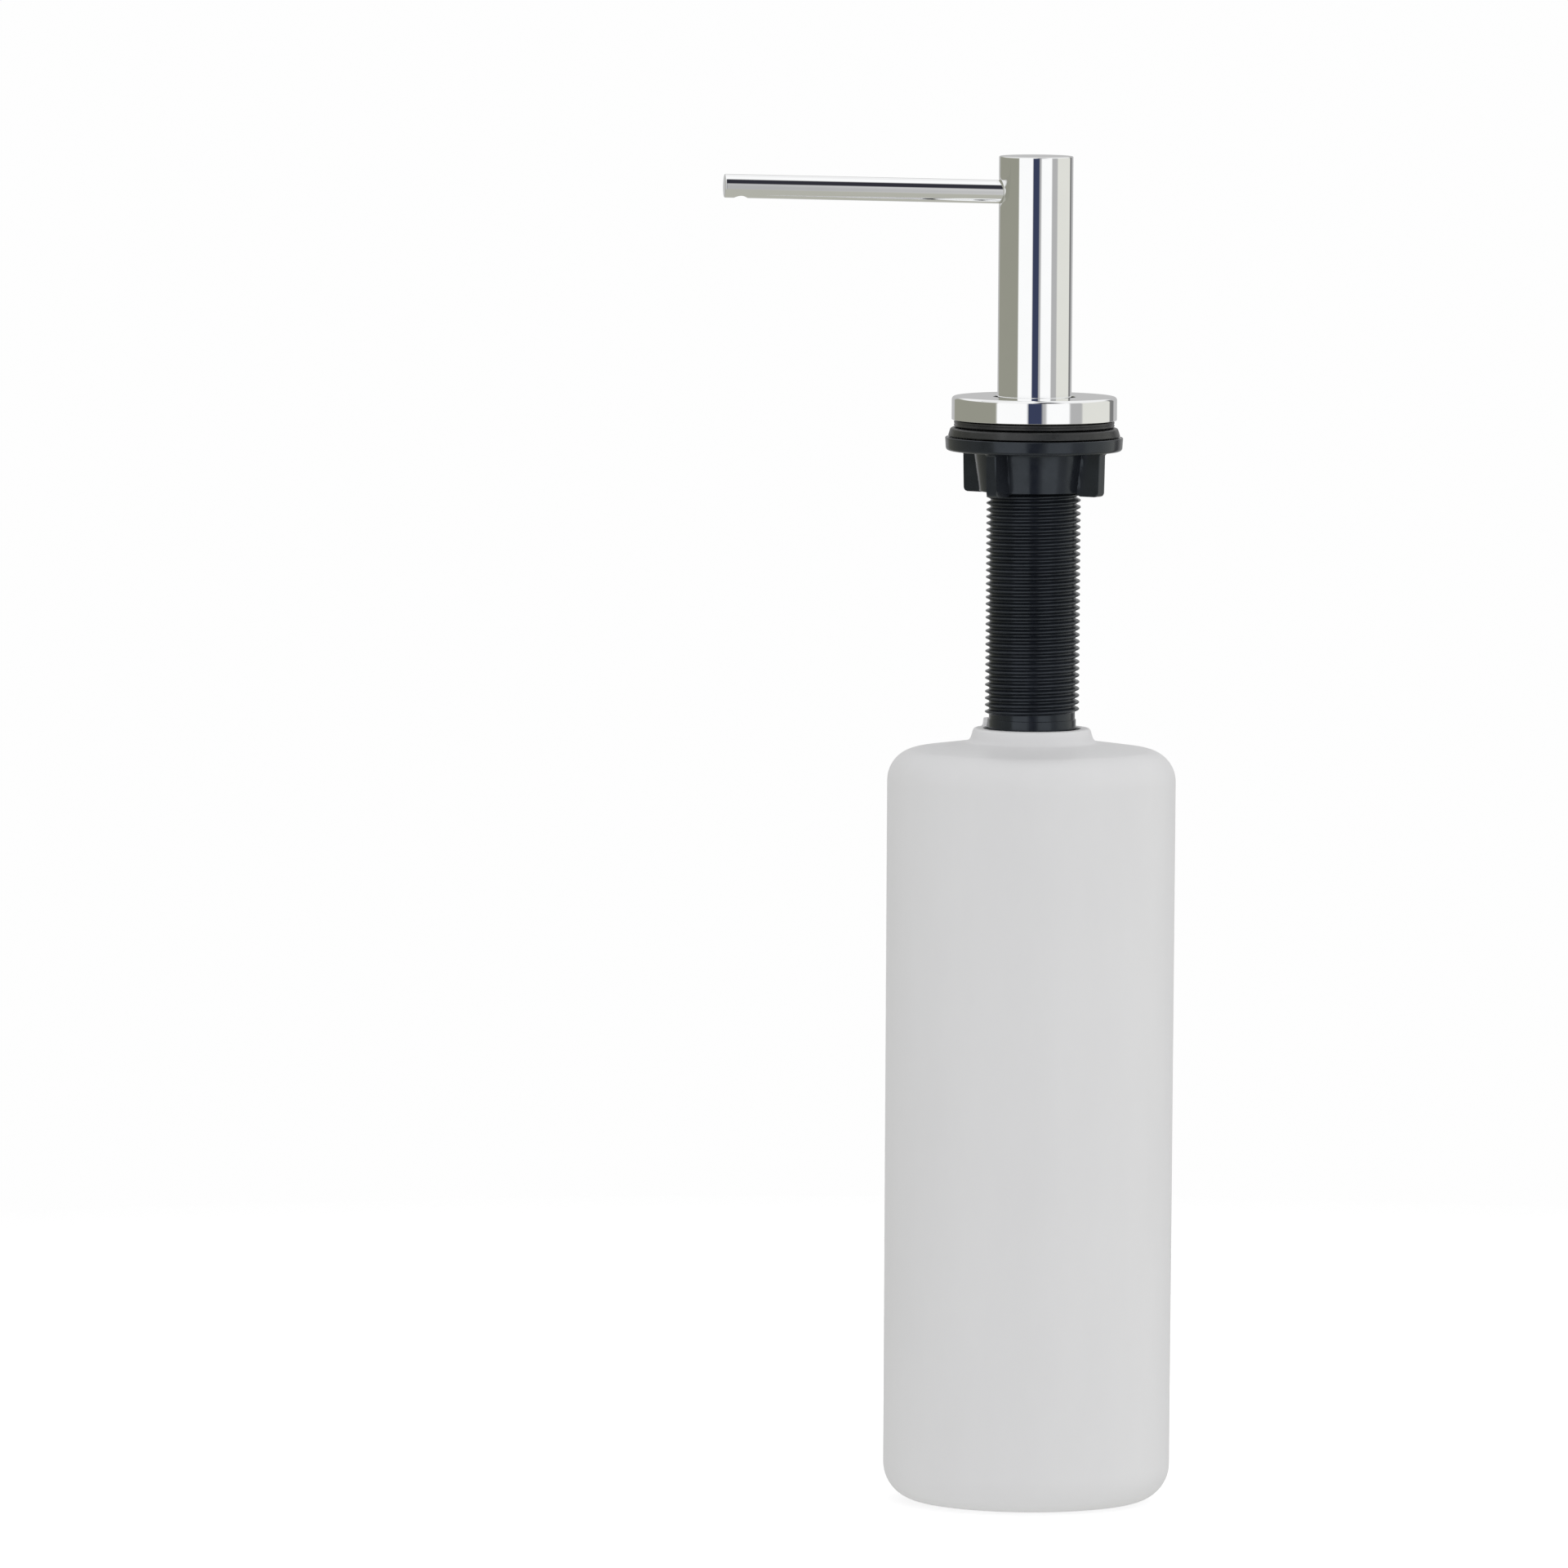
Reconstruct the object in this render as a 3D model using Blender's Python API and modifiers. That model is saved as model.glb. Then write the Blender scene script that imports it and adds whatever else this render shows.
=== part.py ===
"""Deck-mounted soap pump dispenser, in metres, +Z up.

The origin is the centre of the deck hole, on the deck's top surface. The spout points along -X.
Every turned piece is a closed profile of (radius, height) points carried round the Z axis.
"""

import math

import bmesh
import bpy
from mathutils import Matrix, Vector

MM = 0.001

# Clearances and walls
GAP = 0.3 * MM
SLIDE_GAP = 0.7 * MM

# How far shapes that a Boolean joins or cuts run past each other
JOIN = 0.4 * MM

# Push head and spout
HEAD_R = 11.0 * MM
HEAD_WALL = 1.5 * MM
HEAD_CAP = 2.5 * MM
HEAD_TOP = 80.2 * MM
HEAD_BOTTOM = 1.0 * MM
HEAD_EDGE = 0.35 * MM
SPOUT_R = 3.5 * MM
SPOUT_BORE_R = 2.5 * MM
SPOUT_STOP = 1.0 * MM
SPOUT_REACH = 93.0 * MM
SPOUT_DROP = 10.8 * MM
SPOUT_RISE = math.radians(1.2)
SPOUT_TIP_WALL = 1.6 * MM
SPOUT_EDGE = 0.25 * MM
OUTLET_R = 1.5 * MM
OUTLET_FROM_TIP = 5.0 * MM
RECESS_R = 4.5 * MM
PRESS_STROKE = 15.0 * MM
PRESS_SPARE = 2.15 * MM

# Deck flange, gasket, washer and wing nut
ESCUTCHEON_WIDTH = 10.5 * MM
ESCUTCHEON_HEIGHT = 6.95 * MM
ESCUTCHEON_WALL = 1.1 * MM
ESCUTCHEON_PLATE = 1.8 * MM
ESCUTCHEON_HOLE_GAP = 1.35 * MM
ESCUTCHEON_EDGE = 1.0 * MM
GASKET_INSET = 0.7 * MM
GASKET_THICKNESS = 1.75 * MM
WASHER_WIDTH = 10.8 * MM
WASHER_FLARE = 0.75 * MM
WASHER_THICKNESS = 2.5 * MM
WASHER_EDGE = 1.0 * MM
NUT_FLANGE_RIM = 0.85 * MM
NUT_FLANGE_TAPER = 0.25 * MM
NUT_FLANGE_HEIGHT = 4.0 * MM
NUT_FLANGE_EDGE = 1.0 * MM
NUT_HUB_WALL = 1.9 * MM
NUT_HUB_TAPER = 1.7 * MM
NUT_HUB_HEIGHT = 11.9 * MM
NUT_WINGS = 4
NUT_WING_INSET = 2.25 * MM
NUT_WING_HEIGHT = 12.9 * MM
NUT_WING_THICKNESS = 3.4 * MM
NUT_WING_CORNER = 1.3 * MM
NUT_WING_ANGLE = math.radians(50.0)

# Threaded shank: the wall lies between the counterbore and the thread's root
SHANK_WALL = 1.0732 * MM
THREAD_PITCH = 2.0 * MM
THREAD_DEPTH = 0.6134 * THREAD_PITCH
THREAD_LENGTH = 88.75 * MM
COLLAR_INSET = 1.2 * MM
COLLAR_HEIGHT = 3.5 * MM
BOTTLE_THREAD_LENGTH = 13.3 * MM
PUMP_LEDGE_WIDTH = 1.3 * MM
THREAD_SEGMENTS = 18

# Bottle
NECK_STEP = 2.1 * MM
NECK_HEIGHT = 4.1 * MM
NECK_OVERLAP = 0.6 * MM
NECK_SLEEVE_WALL = 1.9 * MM
NECK_EDGE = 0.8 * MM
SEAL_LEDGE_INSET = 0.5 * MM
LEDGE_HEIGHT = 1.6 * MM
SHOULDER_FILLET = 2.6 * MM
SHOULDER_INSET = 7.55 * MM
SHOULDER_DROP = 2.3 * MM
BODY_R = 42.85 * MM
BODY_TAPER = 0.25 * MM
BODY_HEIGHT = 226.3 * MM
BODY_TOP_CORNER = 9.5 * MM
BODY_BASE_CORNER = 11.0 * MM
BOTTLE_WALL = 1.3 * MM
PUSH_UP = 1.6 * MM
BASE_RING_WIDTH = 4.4 * MM
LUG_HEIGHT = 2.4 * MM
LUG_WIDTH = 4.0 * MM
LUG_DEPTH = 2.0 * MM
LUG_ANGLE = math.radians(137.0)
SEAL_THICKNESS = 1.4 * MM

# Pump
PUMP_FLANGE_HEIGHT = 1.8 * MM
PUMP_GASKET_HEIGHT = 1.2 * MM
PUMP_BORE_R = 7.0 * MM
PUMP_WALL = 1.2 * MM
PLUG_DEPTH = 5.8 * MM
CAP_HEIGHT = 3.4 * MM
CAP_EDGE = 0.5 * MM
STEM_R = 4.0 * MM
STEM_BORE_R = 2.2 * MM
STEM_SOCKET = 8.0 * MM
PISTON_LENGTH = 9.0 * MM
PISTON_WAIST = 0.7 * MM
PISTON_LIP = 1.4 * MM
SPRING_SIDE_GAP = 1.15 * MM
SPRING_WIRE_R = 0.45 * MM
SPRING_TURNS = 6
SPRING_SPARE = 3.1 * MM
CAGE_HEIGHT = 1.7 * MM
CAGE_SLOT = 1.4 * MM
INLET_R = 1.8 * MM
INLET_LENGTH = 1.3 * MM
INLET_BALL_OVERSIZE = 0.7 * MM
BALL_CHAMBER_GAP = 0.9 * MM
BALL_CHAMBER_DEPTH = 6.0 * MM
TUBE_R = 4.0 * MM
TUBE_WALL = 1.0 * MM
TUBE_SOCKET = 12.5 * MM
TUBE_TO_BASE = 5.5 * MM
OUTLET_BALL_OVERSIZE = 0.4 * MM
VALVE_CHAMBER_GAP = 0.6 * MM
VALVE_CHAMBER_HEIGHT = 6.0 * MM
ADAPTER_BOTTOM_INSET = 0.8 * MM
ADAPTER_HEIGHT = 22.0 * MM
ADAPTER_CHANNEL_R = 2.0 * MM
RISER_SOCKET = 6.5 * MM
RISER_WALL = 1.25 * MM
SOCKET_BLOCK_HEIGHT = 17.4 * MM

# Facets round a full turn
FINE = 40
MEDIUM = 24
SMALL = 20
TINY = 12
ARC_STEPS = 3

# Levels and radii that follow from the sizes above
BASE = GASKET_THICKNESS + GAP
ESCUTCHEON_TOP = BASE + ESCUTCHEON_HEIGHT
COUNTERBORE_R = HEAD_R + SLIDE_GAP
THREAD_ROOT_R = COUNTERBORE_R + SHANK_WALL
THREAD_R = THREAD_ROOT_R + THREAD_DEPTH
THREAD_CLEAR_R = THREAD_R + GAP
ESCUTCHEON_R = THREAD_R + ESCUTCHEON_WIDTH
ESCUTCHEON_HOLE_R = HEAD_R + ESCUTCHEON_HOLE_GAP
GASKET_R = ESCUTCHEON_R - GASKET_INSET
WASHER_TOP_R = THREAD_R + WASHER_WIDTH
WASHER_BOTTOM_R = WASHER_TOP_R + WASHER_FLARE
NUT_FLANGE_R = WASHER_BOTTOM_R + NUT_FLANGE_RIM
NUT_FLANGE_BOTTOM_R = NUT_FLANGE_R - NUT_FLANGE_TAPER
NUT_HUB_BOTTOM_R = THREAD_CLEAR_R + NUT_HUB_WALL
NUT_HUB_TOP_R = NUT_HUB_BOTTOM_R + NUT_HUB_TAPER
NUT_WING_TIP_R = NUT_FLANGE_BOTTOM_R - NUT_WING_INSET
COLLAR_R = THREAD_R - COLLAR_INSET
SHANK_BORE_R = COUNTERBORE_R - PUMP_LEDGE_WIDTH
WASHER_TOP = -GAP
NUT_TOP = WASHER_TOP - WASHER_THICKNESS - GAP
COLLAR_TOP = BASE - THREAD_LENGTH
COLLAR_BOTTOM = COLLAR_TOP - COLLAR_HEIGHT
SHANK_BOTTOM = COLLAR_BOTTOM - BOTTLE_THREAD_LENGTH
SEAL_TOP = SHANK_BOTTOM - GAP
NECK_LEDGE = SEAL_TOP - SEAL_THICKNESS - GAP
LEDGE_BORE_R = SHANK_BORE_R + SEAL_LEDGE_INSET
NECK_SLEEVE_R = THREAD_CLEAR_R + NECK_SLEEVE_WALL
NECK_R = NECK_SLEEVE_R + NECK_STEP
SHOULDER_R = BODY_R - SHOULDER_INSET
BODY_BASE_R = BODY_R - BODY_TAPER
PUSH_UP_R = BODY_BASE_R - BODY_BASE_CORNER - BASE_RING_WIDTH - 2 * PUSH_UP
NECK_TOP = COLLAR_BOTTOM + NECK_OVERLAP
SHOULDER_TOP = NECK_TOP - NECK_HEIGHT
BOTTLE_BASE = SHOULDER_TOP - BODY_HEIGHT
RISER_BORE_R = TUBE_R - RISER_WALL
HEAD_BORE_R = HEAD_R - HEAD_WALL
INSERT_R = HEAD_BORE_R - GAP
SPOUT_LEVEL = HEAD_TOP - SPOUT_DROP
SPOUT_START = RISER_BORE_R + SPOUT_STOP
PUMP_FLANGE_R = COUNTERBORE_R - GAP
CAP_BOTTOM = HEAD_BOTTOM - PRESS_STROKE - PRESS_SPARE - CAP_HEIGHT
PUMP_FLANGE_TOP = CAP_BOTTOM - GAP
PUMP_FLANGE_BOTTOM = PUMP_FLANGE_TOP - PUMP_FLANGE_HEIGHT
LEDGE_LEVEL = PUMP_FLANGE_BOTTOM - GAP - PUMP_GASKET_HEIGHT - GAP
PLUG_BOTTOM = CAP_BOTTOM - PLUG_DEPTH
PISTON_TOP = PLUG_BOTTOM - GAP
PISTON_BOTTOM = PISTON_TOP - PISTON_LENGTH
SPRING_R = PUMP_BORE_R - SPRING_SIDE_GAP - SPRING_WIRE_R
SPRING_SOLID = 2 * SPRING_WIRE_R * (SPRING_TURNS + 1)
CAGE_TOP = PISTON_BOTTOM - 2 * GAP - PRESS_STROKE - SPRING_SOLID - SPRING_SPARE
CAGE_BOTTOM = CAGE_TOP - CAGE_HEIGHT
PUMP_FLOOR = CAGE_BOTTOM - GAP
OUTLET_BALL_R = STEM_BORE_R + OUTLET_BALL_OVERSIZE
VALVE_CHAMBER_R = OUTLET_BALL_R + VALVE_CHAMBER_GAP
STEM_HOLE_R = STEM_R + GAP
STEM_BOTTOM = PISTON_TOP - STEM_SOCKET + GAP
ADAPTER_BOTTOM = HEAD_BOTTOM + ADAPTER_BOTTOM_INSET
ADAPTER_TOP = ADAPTER_BOTTOM + ADAPTER_HEIGHT
STEM_TOP = ADAPTER_BOTTOM + STEM_SOCKET - GAP
INLET_BALL_R = INLET_R + INLET_BALL_OVERSIZE
BALL_CHAMBER_R = INLET_BALL_R + BALL_CHAMBER_GAP
CHAMBER_FLOOR = PUMP_FLOOR - BALL_CHAMBER_DEPTH
SEAT_BOTTOM = CHAMBER_FLOOR - (BALL_CHAMBER_R - INLET_R)
TUBE_HOLE_R = TUBE_R + GAP
TUBE_STOP = SEAT_BOTTOM - INLET_LENGTH
TUBE_TOP = TUBE_STOP - GAP
TUBE_BOTTOM = BOTTLE_BASE + PUSH_UP + BOTTLE_WALL + TUBE_TO_BASE


def clear_scene():
    for obj in list(bpy.data.objects):
        bpy.data.objects.remove(obj, do_unlink=True)


def new_collection(name):
    collection = bpy.data.collections.new(name)
    bpy.context.scene.collection.children.link(collection)
    return collection


def finish(name, color, roughness, metallic=0.0):
    """A Principled material of one colour."""
    material = bpy.data.materials.new(name)
    material.use_nodes = True
    shader = material.node_tree.nodes["Principled BSDF"]
    shader.inputs["Base Color"].default_value = (*color, 1.0)
    shader.inputs["Roughness"].default_value = roughness
    shader.inputs["Metallic"].default_value = metallic
    return material


def rounded(corners, steps=ARC_STEPS):
    """The outline through the corners; a corner (r, z, radius) becomes an arc of that radius."""
    points = []
    count = len(corners)
    for index, corner in enumerate(corners):
        here = Vector(corner[:2])
        radius = corner[2] if len(corner) > 2 else 0.0
        if radius == 0.0:
            points.append(tuple(here))
            continue
        back = (Vector(corners[index - 1][:2]) - here).normalized()
        ahead = (Vector(corners[(index + 1) % count][:2]) - here).normalized()
        half = back.angle(ahead) / 2
        reach = radius / math.tan(half)
        centre = here + (back + ahead).normalized() * (radius / math.sin(half))
        start = here + back * reach - centre
        turn = (here + ahead * reach - centre).angle_signed(start)
        for step in range(steps + 1):
            points.append(tuple(centre + Matrix.Rotation(turn * step / steps, 2) @ start))
    return points


def show_round(obj):
    mesh = obj.data
    mesh.shade_smooth()
    mesh.set_sharp_from_angle(angle=math.radians(35.0))


def turned(name, profile, collection, material=None, steps=SMALL, closed=True, z=0.0):
    """A profile of (r, z) points, its outer side running down, carried round the Z axis."""
    points = rounded(profile)
    mesh = bpy.data.meshes.new(name)
    edges = [(i, i + 1) for i in range(len(points) - 1)]
    if closed:
        edges.append((len(points) - 1, 0))
    mesh.from_pydata([(r, 0.0, height - z) for r, height in points], edges, [])
    obj = bpy.data.objects.new(name, mesh)
    obj.location = (0.0, 0.0, z)
    collection.objects.link(obj)
    screw = obj.modifiers.new("Turn", "SCREW")
    screw.axis = "Z"
    screw.angle = math.tau
    screw.steps = steps
    screw.render_steps = steps
    screw.use_merge_vertices = True
    screw.merge_threshold = 1e-6
    screw.use_smooth_shade = True
    if material:
        mesh.materials.append(material)
    return obj


def ring(name, inner, outer, bottom, top, collection, material=None, steps=SMALL):
    """A plain tube or washer."""
    profile = [(outer, top), (outer, bottom), (inner, bottom), (inner, top)]
    return turned(name, profile, collection, material, steps, z=top)


def plug(name, radius, bottom, top, collection, steps=SMALL):
    """A solid cylinder on the Z axis, used as a cutter."""
    profile = [(0.0, top), (radius, top), (radius, bottom), (0.0, bottom)]
    return turned(name, profile, collection, steps=steps, closed=False)


def hide_helper(obj):
    obj.hide_render = True
    obj.display_type = "WIRE"


def combine(obj, other, operation):
    """Adds an exact Boolean of the helper object to obj."""
    hide_helper(other)
    boolean = obj.modifiers.new(other.name, "BOOLEAN")
    boolean.operation = operation
    boolean.solver = "EXACT"
    boolean.object = other


def block(name, size, centre, collection, angle=0.0):
    """A box of this size, turned about the Z axis through the origin after it is moved out to centre."""
    mesh = bpy.data.meshes.new(name)
    shape = bmesh.new()
    bmesh.ops.create_cube(shape, size=1.0)
    bmesh.ops.scale(shape, vec=size, verts=shape.verts)
    bmesh.ops.translate(shape, vec=centre, verts=shape.verts)
    shape.to_mesh(mesh)
    shape.free()
    obj = bpy.data.objects.new(name, mesh)
    obj.rotation_euler = (0.0, 0.0, angle)
    collection.objects.link(obj)
    return obj


def plate(name, outline, thickness, collection):
    """A flat outline in the XY plane with this thickness about it, as a mesh."""
    curve = bpy.data.curves.new(name, "CURVE")
    curve.dimensions = "2D"
    curve.fill_mode = "BOTH"
    curve.extrude = thickness / 2
    spline = curve.splines.new("POLY")
    spline.points.add(len(outline) - 1)
    for point, (x, y) in zip(spline.points, outline):
        point.co = (x, y, 0.0, 1.0)
    spline.use_cyclic_u = True
    return as_mesh(bpy.data.objects.new(name, curve), collection)


def as_mesh(curve_object, collection):
    """The curve's evaluated shape as a welded mesh object in its place."""
    name = curve_object.name
    bpy.context.scene.collection.objects.link(curve_object)
    graph = bpy.context.evaluated_depsgraph_get()
    mesh = bpy.data.meshes.new_from_object(curve_object.evaluated_get(graph))
    shape = bmesh.new()
    shape.from_mesh(mesh)
    bmesh.ops.remove_doubles(shape, verts=shape.verts, dist=1e-6)
    bmesh.ops.recalc_face_normals(shape, faces=shape.faces)
    shape.to_mesh(mesh)
    shape.free()
    place = curve_object.matrix_world.copy()
    bpy.data.objects.remove(curve_object, do_unlink=True)
    obj = bpy.data.objects.new(name, mesh)
    obj.matrix_world = place
    collection.objects.link(obj)
    return obj


def threaded_rod(name, top, bottom, collection):
    """A solid right-hand V thread between two levels: one tooth carried up a helix, then cut flat at both ends."""
    turns = math.ceil((top - bottom) / THREAD_PITCH) + 2
    mesh = bpy.data.meshes.new(name)
    tooth = [(THREAD_ROOT_R, 0.0, THREAD_PITCH), (THREAD_R, 0.0, THREAD_PITCH / 2), (THREAD_ROOT_R, 0.0, 0.0)]
    mesh.from_pydata(tooth, [(0, 1), (1, 2)], [])
    obj = bpy.data.objects.new(name, mesh)
    obj.location = (0.0, 0.0, bottom - 1.5 * THREAD_PITCH)
    collection.objects.link(obj)
    screw = obj.modifiers.new("Helix", "SCREW")
    screw.axis = "Z"
    screw.angle = math.tau
    screw.screw_offset = THREAD_PITCH
    screw.iterations = turns
    screw.steps = THREAD_SEGMENTS
    screw.render_steps = THREAD_SEGMENTS
    screw.use_merge_vertices = True
    screw.merge_threshold = 1e-6
    graph = bpy.context.evaluated_depsgraph_get()
    helix = bpy.data.meshes.new_from_object(obj.evaluated_get(graph))
    shape = bmesh.new()
    shape.from_mesh(helix)
    bmesh.ops.translate(shape, vec=obj.location, verts=shape.verts)
    bmesh.ops.remove_doubles(shape, verts=shape.verts, dist=1e-6)
    for level, side in ((top, 1.0), (bottom, -1.0)):
        everything = shape.verts[:] + shape.edges[:] + shape.faces[:]
        cut = bmesh.ops.bisect_plane(
            shape,
            geom=everything,
            plane_co=(0.0, 0.0, level),
            plane_no=(0.0, 0.0, side),
            clear_outer=True,
        )
        rim = [piece for piece in cut["geom_cut"] if isinstance(piece, bmesh.types.BMEdge)]
        bmesh.ops.contextual_create(shape, geom=rim)
    bmesh.ops.recalc_face_normals(shape, faces=shape.faces)
    shape.to_mesh(helix)
    shape.free()
    bpy.data.objects.remove(obj, do_unlink=True)
    rod = bpy.data.objects.new(name, helix)
    collection.objects.link(rod)
    return rod


def axis_empty(name, level, collection):
    """An empty on the Z axis that the pieces of one moving body hang from."""
    empty = bpy.data.objects.new(name, None)
    empty.empty_display_size = 0.02
    empty.location = (0.0, 0.0, level)
    collection.objects.link(empty)
    return empty


def hang(empty, objects):
    """Parents the objects to the empty and keeps their places."""
    for obj in objects:
        obj.parent = empty
        obj.matrix_parent_inverse = Matrix.Translation(-empty.location)


def along_spout(obj):
    """Lays a helper made on the Z axis along the spout's axis, its +Z towards the spout's tip."""
    tip_direction = Vector((-math.cos(SPOUT_RISE), 0.0, math.sin(SPOUT_RISE)))
    turn = Vector((0.0, 0.0, 1.0)).rotation_difference(tip_direction)
    obj.matrix_world = Matrix.Translation((0.0, 0.0, SPOUT_LEVEL)) @ turn.to_matrix().to_4x4()


def make_escutcheon(parts, material):
    inner = ESCUTCHEON_R - ESCUTCHEON_WALL
    under = ESCUTCHEON_TOP - ESCUTCHEON_PLATE
    profile = [
        (ESCUTCHEON_HOLE_R, ESCUTCHEON_TOP),
        (ESCUTCHEON_R, ESCUTCHEON_TOP, ESCUTCHEON_EDGE),
        (ESCUTCHEON_R, BASE),
        (inner, BASE),
        (inner, under),
        (ESCUTCHEON_HOLE_R, under),
    ]
    return turned("escutcheon", profile, parts, material, FINE, z=BASE)


def make_gasket(parts, material):
    return ring("deck_gasket", THREAD_CLEAR_R, GASKET_R, 0.0, GASKET_THICKNESS, parts, material, FINE)


def make_shank(parts, helpers, material):
    """Top flange, core and collar as one turned piece, joined to two runs of thread, then bored."""
    flange_r = ESCUTCHEON_R - ESCUTCHEON_WALL - GAP
    flange_top = ESCUTCHEON_TOP - ESCUTCHEON_PLATE - GAP
    core_r = THREAD_ROOT_R - JOIN
    profile = [
        (0.0, flange_top),
        (flange_r, flange_top),
        (flange_r, BASE),
        (core_r, BASE),
        (core_r, COLLAR_TOP + JOIN),
        (COLLAR_R, COLLAR_TOP + JOIN),
        (COLLAR_R, COLLAR_BOTTOM - JOIN),
        (core_r, COLLAR_BOTTOM - JOIN),
        (core_r, SHANK_BOTTOM + JOIN),
        (0.0, SHANK_BOTTOM + JOIN),
    ]
    shank = turned("shank", profile, parts, material, THREAD_SEGMENTS * 2, closed=False, z=BASE)
    deck_thread = threaded_rod("deck_thread", BASE + JOIN, COLLAR_TOP, helpers)
    bottle_thread = threaded_rod("bottle_thread", COLLAR_BOTTOM, SHANK_BOTTOM, helpers)
    counterbore = plug("shank_counterbore", COUNTERBORE_R, LEDGE_LEVEL, flange_top + JOIN, helpers, FINE)
    bore = plug("shank_bore", SHANK_BORE_R, SHANK_BOTTOM - JOIN, LEDGE_LEVEL + JOIN, helpers, MEDIUM)
    combine(shank, deck_thread, "UNION")
    combine(shank, bottle_thread, "UNION")
    combine(shank, counterbore, "DIFFERENCE")
    combine(shank, bore, "DIFFERENCE")
    return shank


def make_washer(parts, material):
    bottom = WASHER_TOP - WASHER_THICKNESS
    profile = [
        (THREAD_CLEAR_R, WASHER_TOP),
        (WASHER_TOP_R, WASHER_TOP, WASHER_EDGE),
        (WASHER_BOTTOM_R, bottom),
        (THREAD_CLEAR_R, bottom),
    ]
    return turned("clamp_washer", profile, parts, material, FINE, z=WASHER_TOP)


def make_wing_nut(parts, helpers, material):
    flange_bottom = NUT_TOP - NUT_FLANGE_HEIGHT
    hub_bottom = flange_bottom - NUT_HUB_HEIGHT
    profile = [
        (THREAD_CLEAR_R, NUT_TOP),
        (NUT_FLANGE_R, NUT_TOP),
        (NUT_FLANGE_BOTTOM_R, flange_bottom, NUT_FLANGE_EDGE),
        (NUT_HUB_TOP_R, flange_bottom),
        (NUT_HUB_BOTTOM_R, hub_bottom),
        (THREAD_CLEAR_R, hub_bottom),
    ]
    nut = turned("wing_nut", profile, parts, material, FINE, z=NUT_TOP)
    root = (NUT_HUB_BOTTOM_R + THREAD_CLEAR_R) / 2
    outline = rounded(
        [
            (root, JOIN),
            (root, -NUT_WING_HEIGHT),
            (NUT_WING_TIP_R, -NUT_WING_HEIGHT, NUT_WING_CORNER),
            (NUT_WING_TIP_R, JOIN),
        ]
    )
    upright = Matrix.Rotation(math.radians(90.0), 4, "X")
    for index in range(NUT_WINGS):
        wing = plate(f"nut_wing_{index}", outline, NUT_WING_THICKNESS, helpers)
        turn = Matrix.Rotation(NUT_WING_ANGLE + index * math.tau / NUT_WINGS, 4, "Z")
        wing.matrix_world = Matrix.Translation((0.0, 0.0, flange_bottom)) @ turn @ upright
        combine(nut, wing, "UNION")
    return nut


def make_bottle(parts, helpers, material):
    """Blown shell with a neck sleeve that hangs inside it, a ledge for the seal and a lug on the rim."""
    wall = BOTTLE_WALL
    ledge_bottom = NECK_LEDGE - LEDGE_HEIGHT
    corner_level = SHOULDER_TOP - SHOULDER_DROP - BODY_TOP_CORNER * 0.2
    inner_base = BOTTLE_BASE + wall
    profile = [
        (0.0, inner_base + PUSH_UP),
        (PUSH_UP_R, inner_base + PUSH_UP),
        (PUSH_UP_R + 2 * PUSH_UP, inner_base),
        (BODY_BASE_R - wall, inner_base, BODY_BASE_CORNER - wall),
        (BODY_R - wall, corner_level - wall, BODY_TOP_CORNER - wall),
        (SHOULDER_R, SHOULDER_TOP - SHOULDER_DROP - wall),
        (NECK_R + SHOULDER_FILLET, SHOULDER_TOP - wall),
        (NECK_SLEEVE_R, SHOULDER_TOP - wall),
        (NECK_SLEEVE_R, ledge_bottom),
        (LEDGE_BORE_R, ledge_bottom),
        (LEDGE_BORE_R, NECK_LEDGE),
        (THREAD_CLEAR_R, NECK_LEDGE),
        (THREAD_CLEAR_R, NECK_TOP),
        (NECK_R, NECK_TOP, NECK_EDGE),
        (NECK_R, SHOULDER_TOP, SHOULDER_FILLET),
        (SHOULDER_R, SHOULDER_TOP - SHOULDER_DROP),
        (BODY_R, corner_level, BODY_TOP_CORNER),
        (BODY_BASE_R, BOTTLE_BASE, BODY_BASE_CORNER),
        (PUSH_UP_R + 2 * PUSH_UP, BOTTLE_BASE),
        (PUSH_UP_R, BOTTLE_BASE + PUSH_UP),
        (0.0, BOTTLE_BASE + PUSH_UP),
    ]
    bottle = turned("bottle", profile, parts, material, FINE, closed=False, z=NECK_TOP)
    lug_size = (LUG_DEPTH, LUG_WIDTH, LUG_HEIGHT + JOIN)
    lug_r = THREAD_CLEAR_R + GAP + LUG_DEPTH / 2
    lug_centre = (lug_r, 0.0, NECK_TOP + (LUG_HEIGHT - JOIN) / 2)
    lug = block("neck_lug", lug_size, lug_centre, helpers, LUG_ANGLE)
    combine(bottle, lug, "UNION")
    return bottle


def make_bottle_seal(parts, material):
    bottom = SEAL_TOP - SEAL_THICKNESS
    outer = THREAD_CLEAR_R - GAP
    return ring("bottle_seal", LEDGE_BORE_R, outer, bottom, SEAL_TOP, parts, material, MEDIUM)


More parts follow.
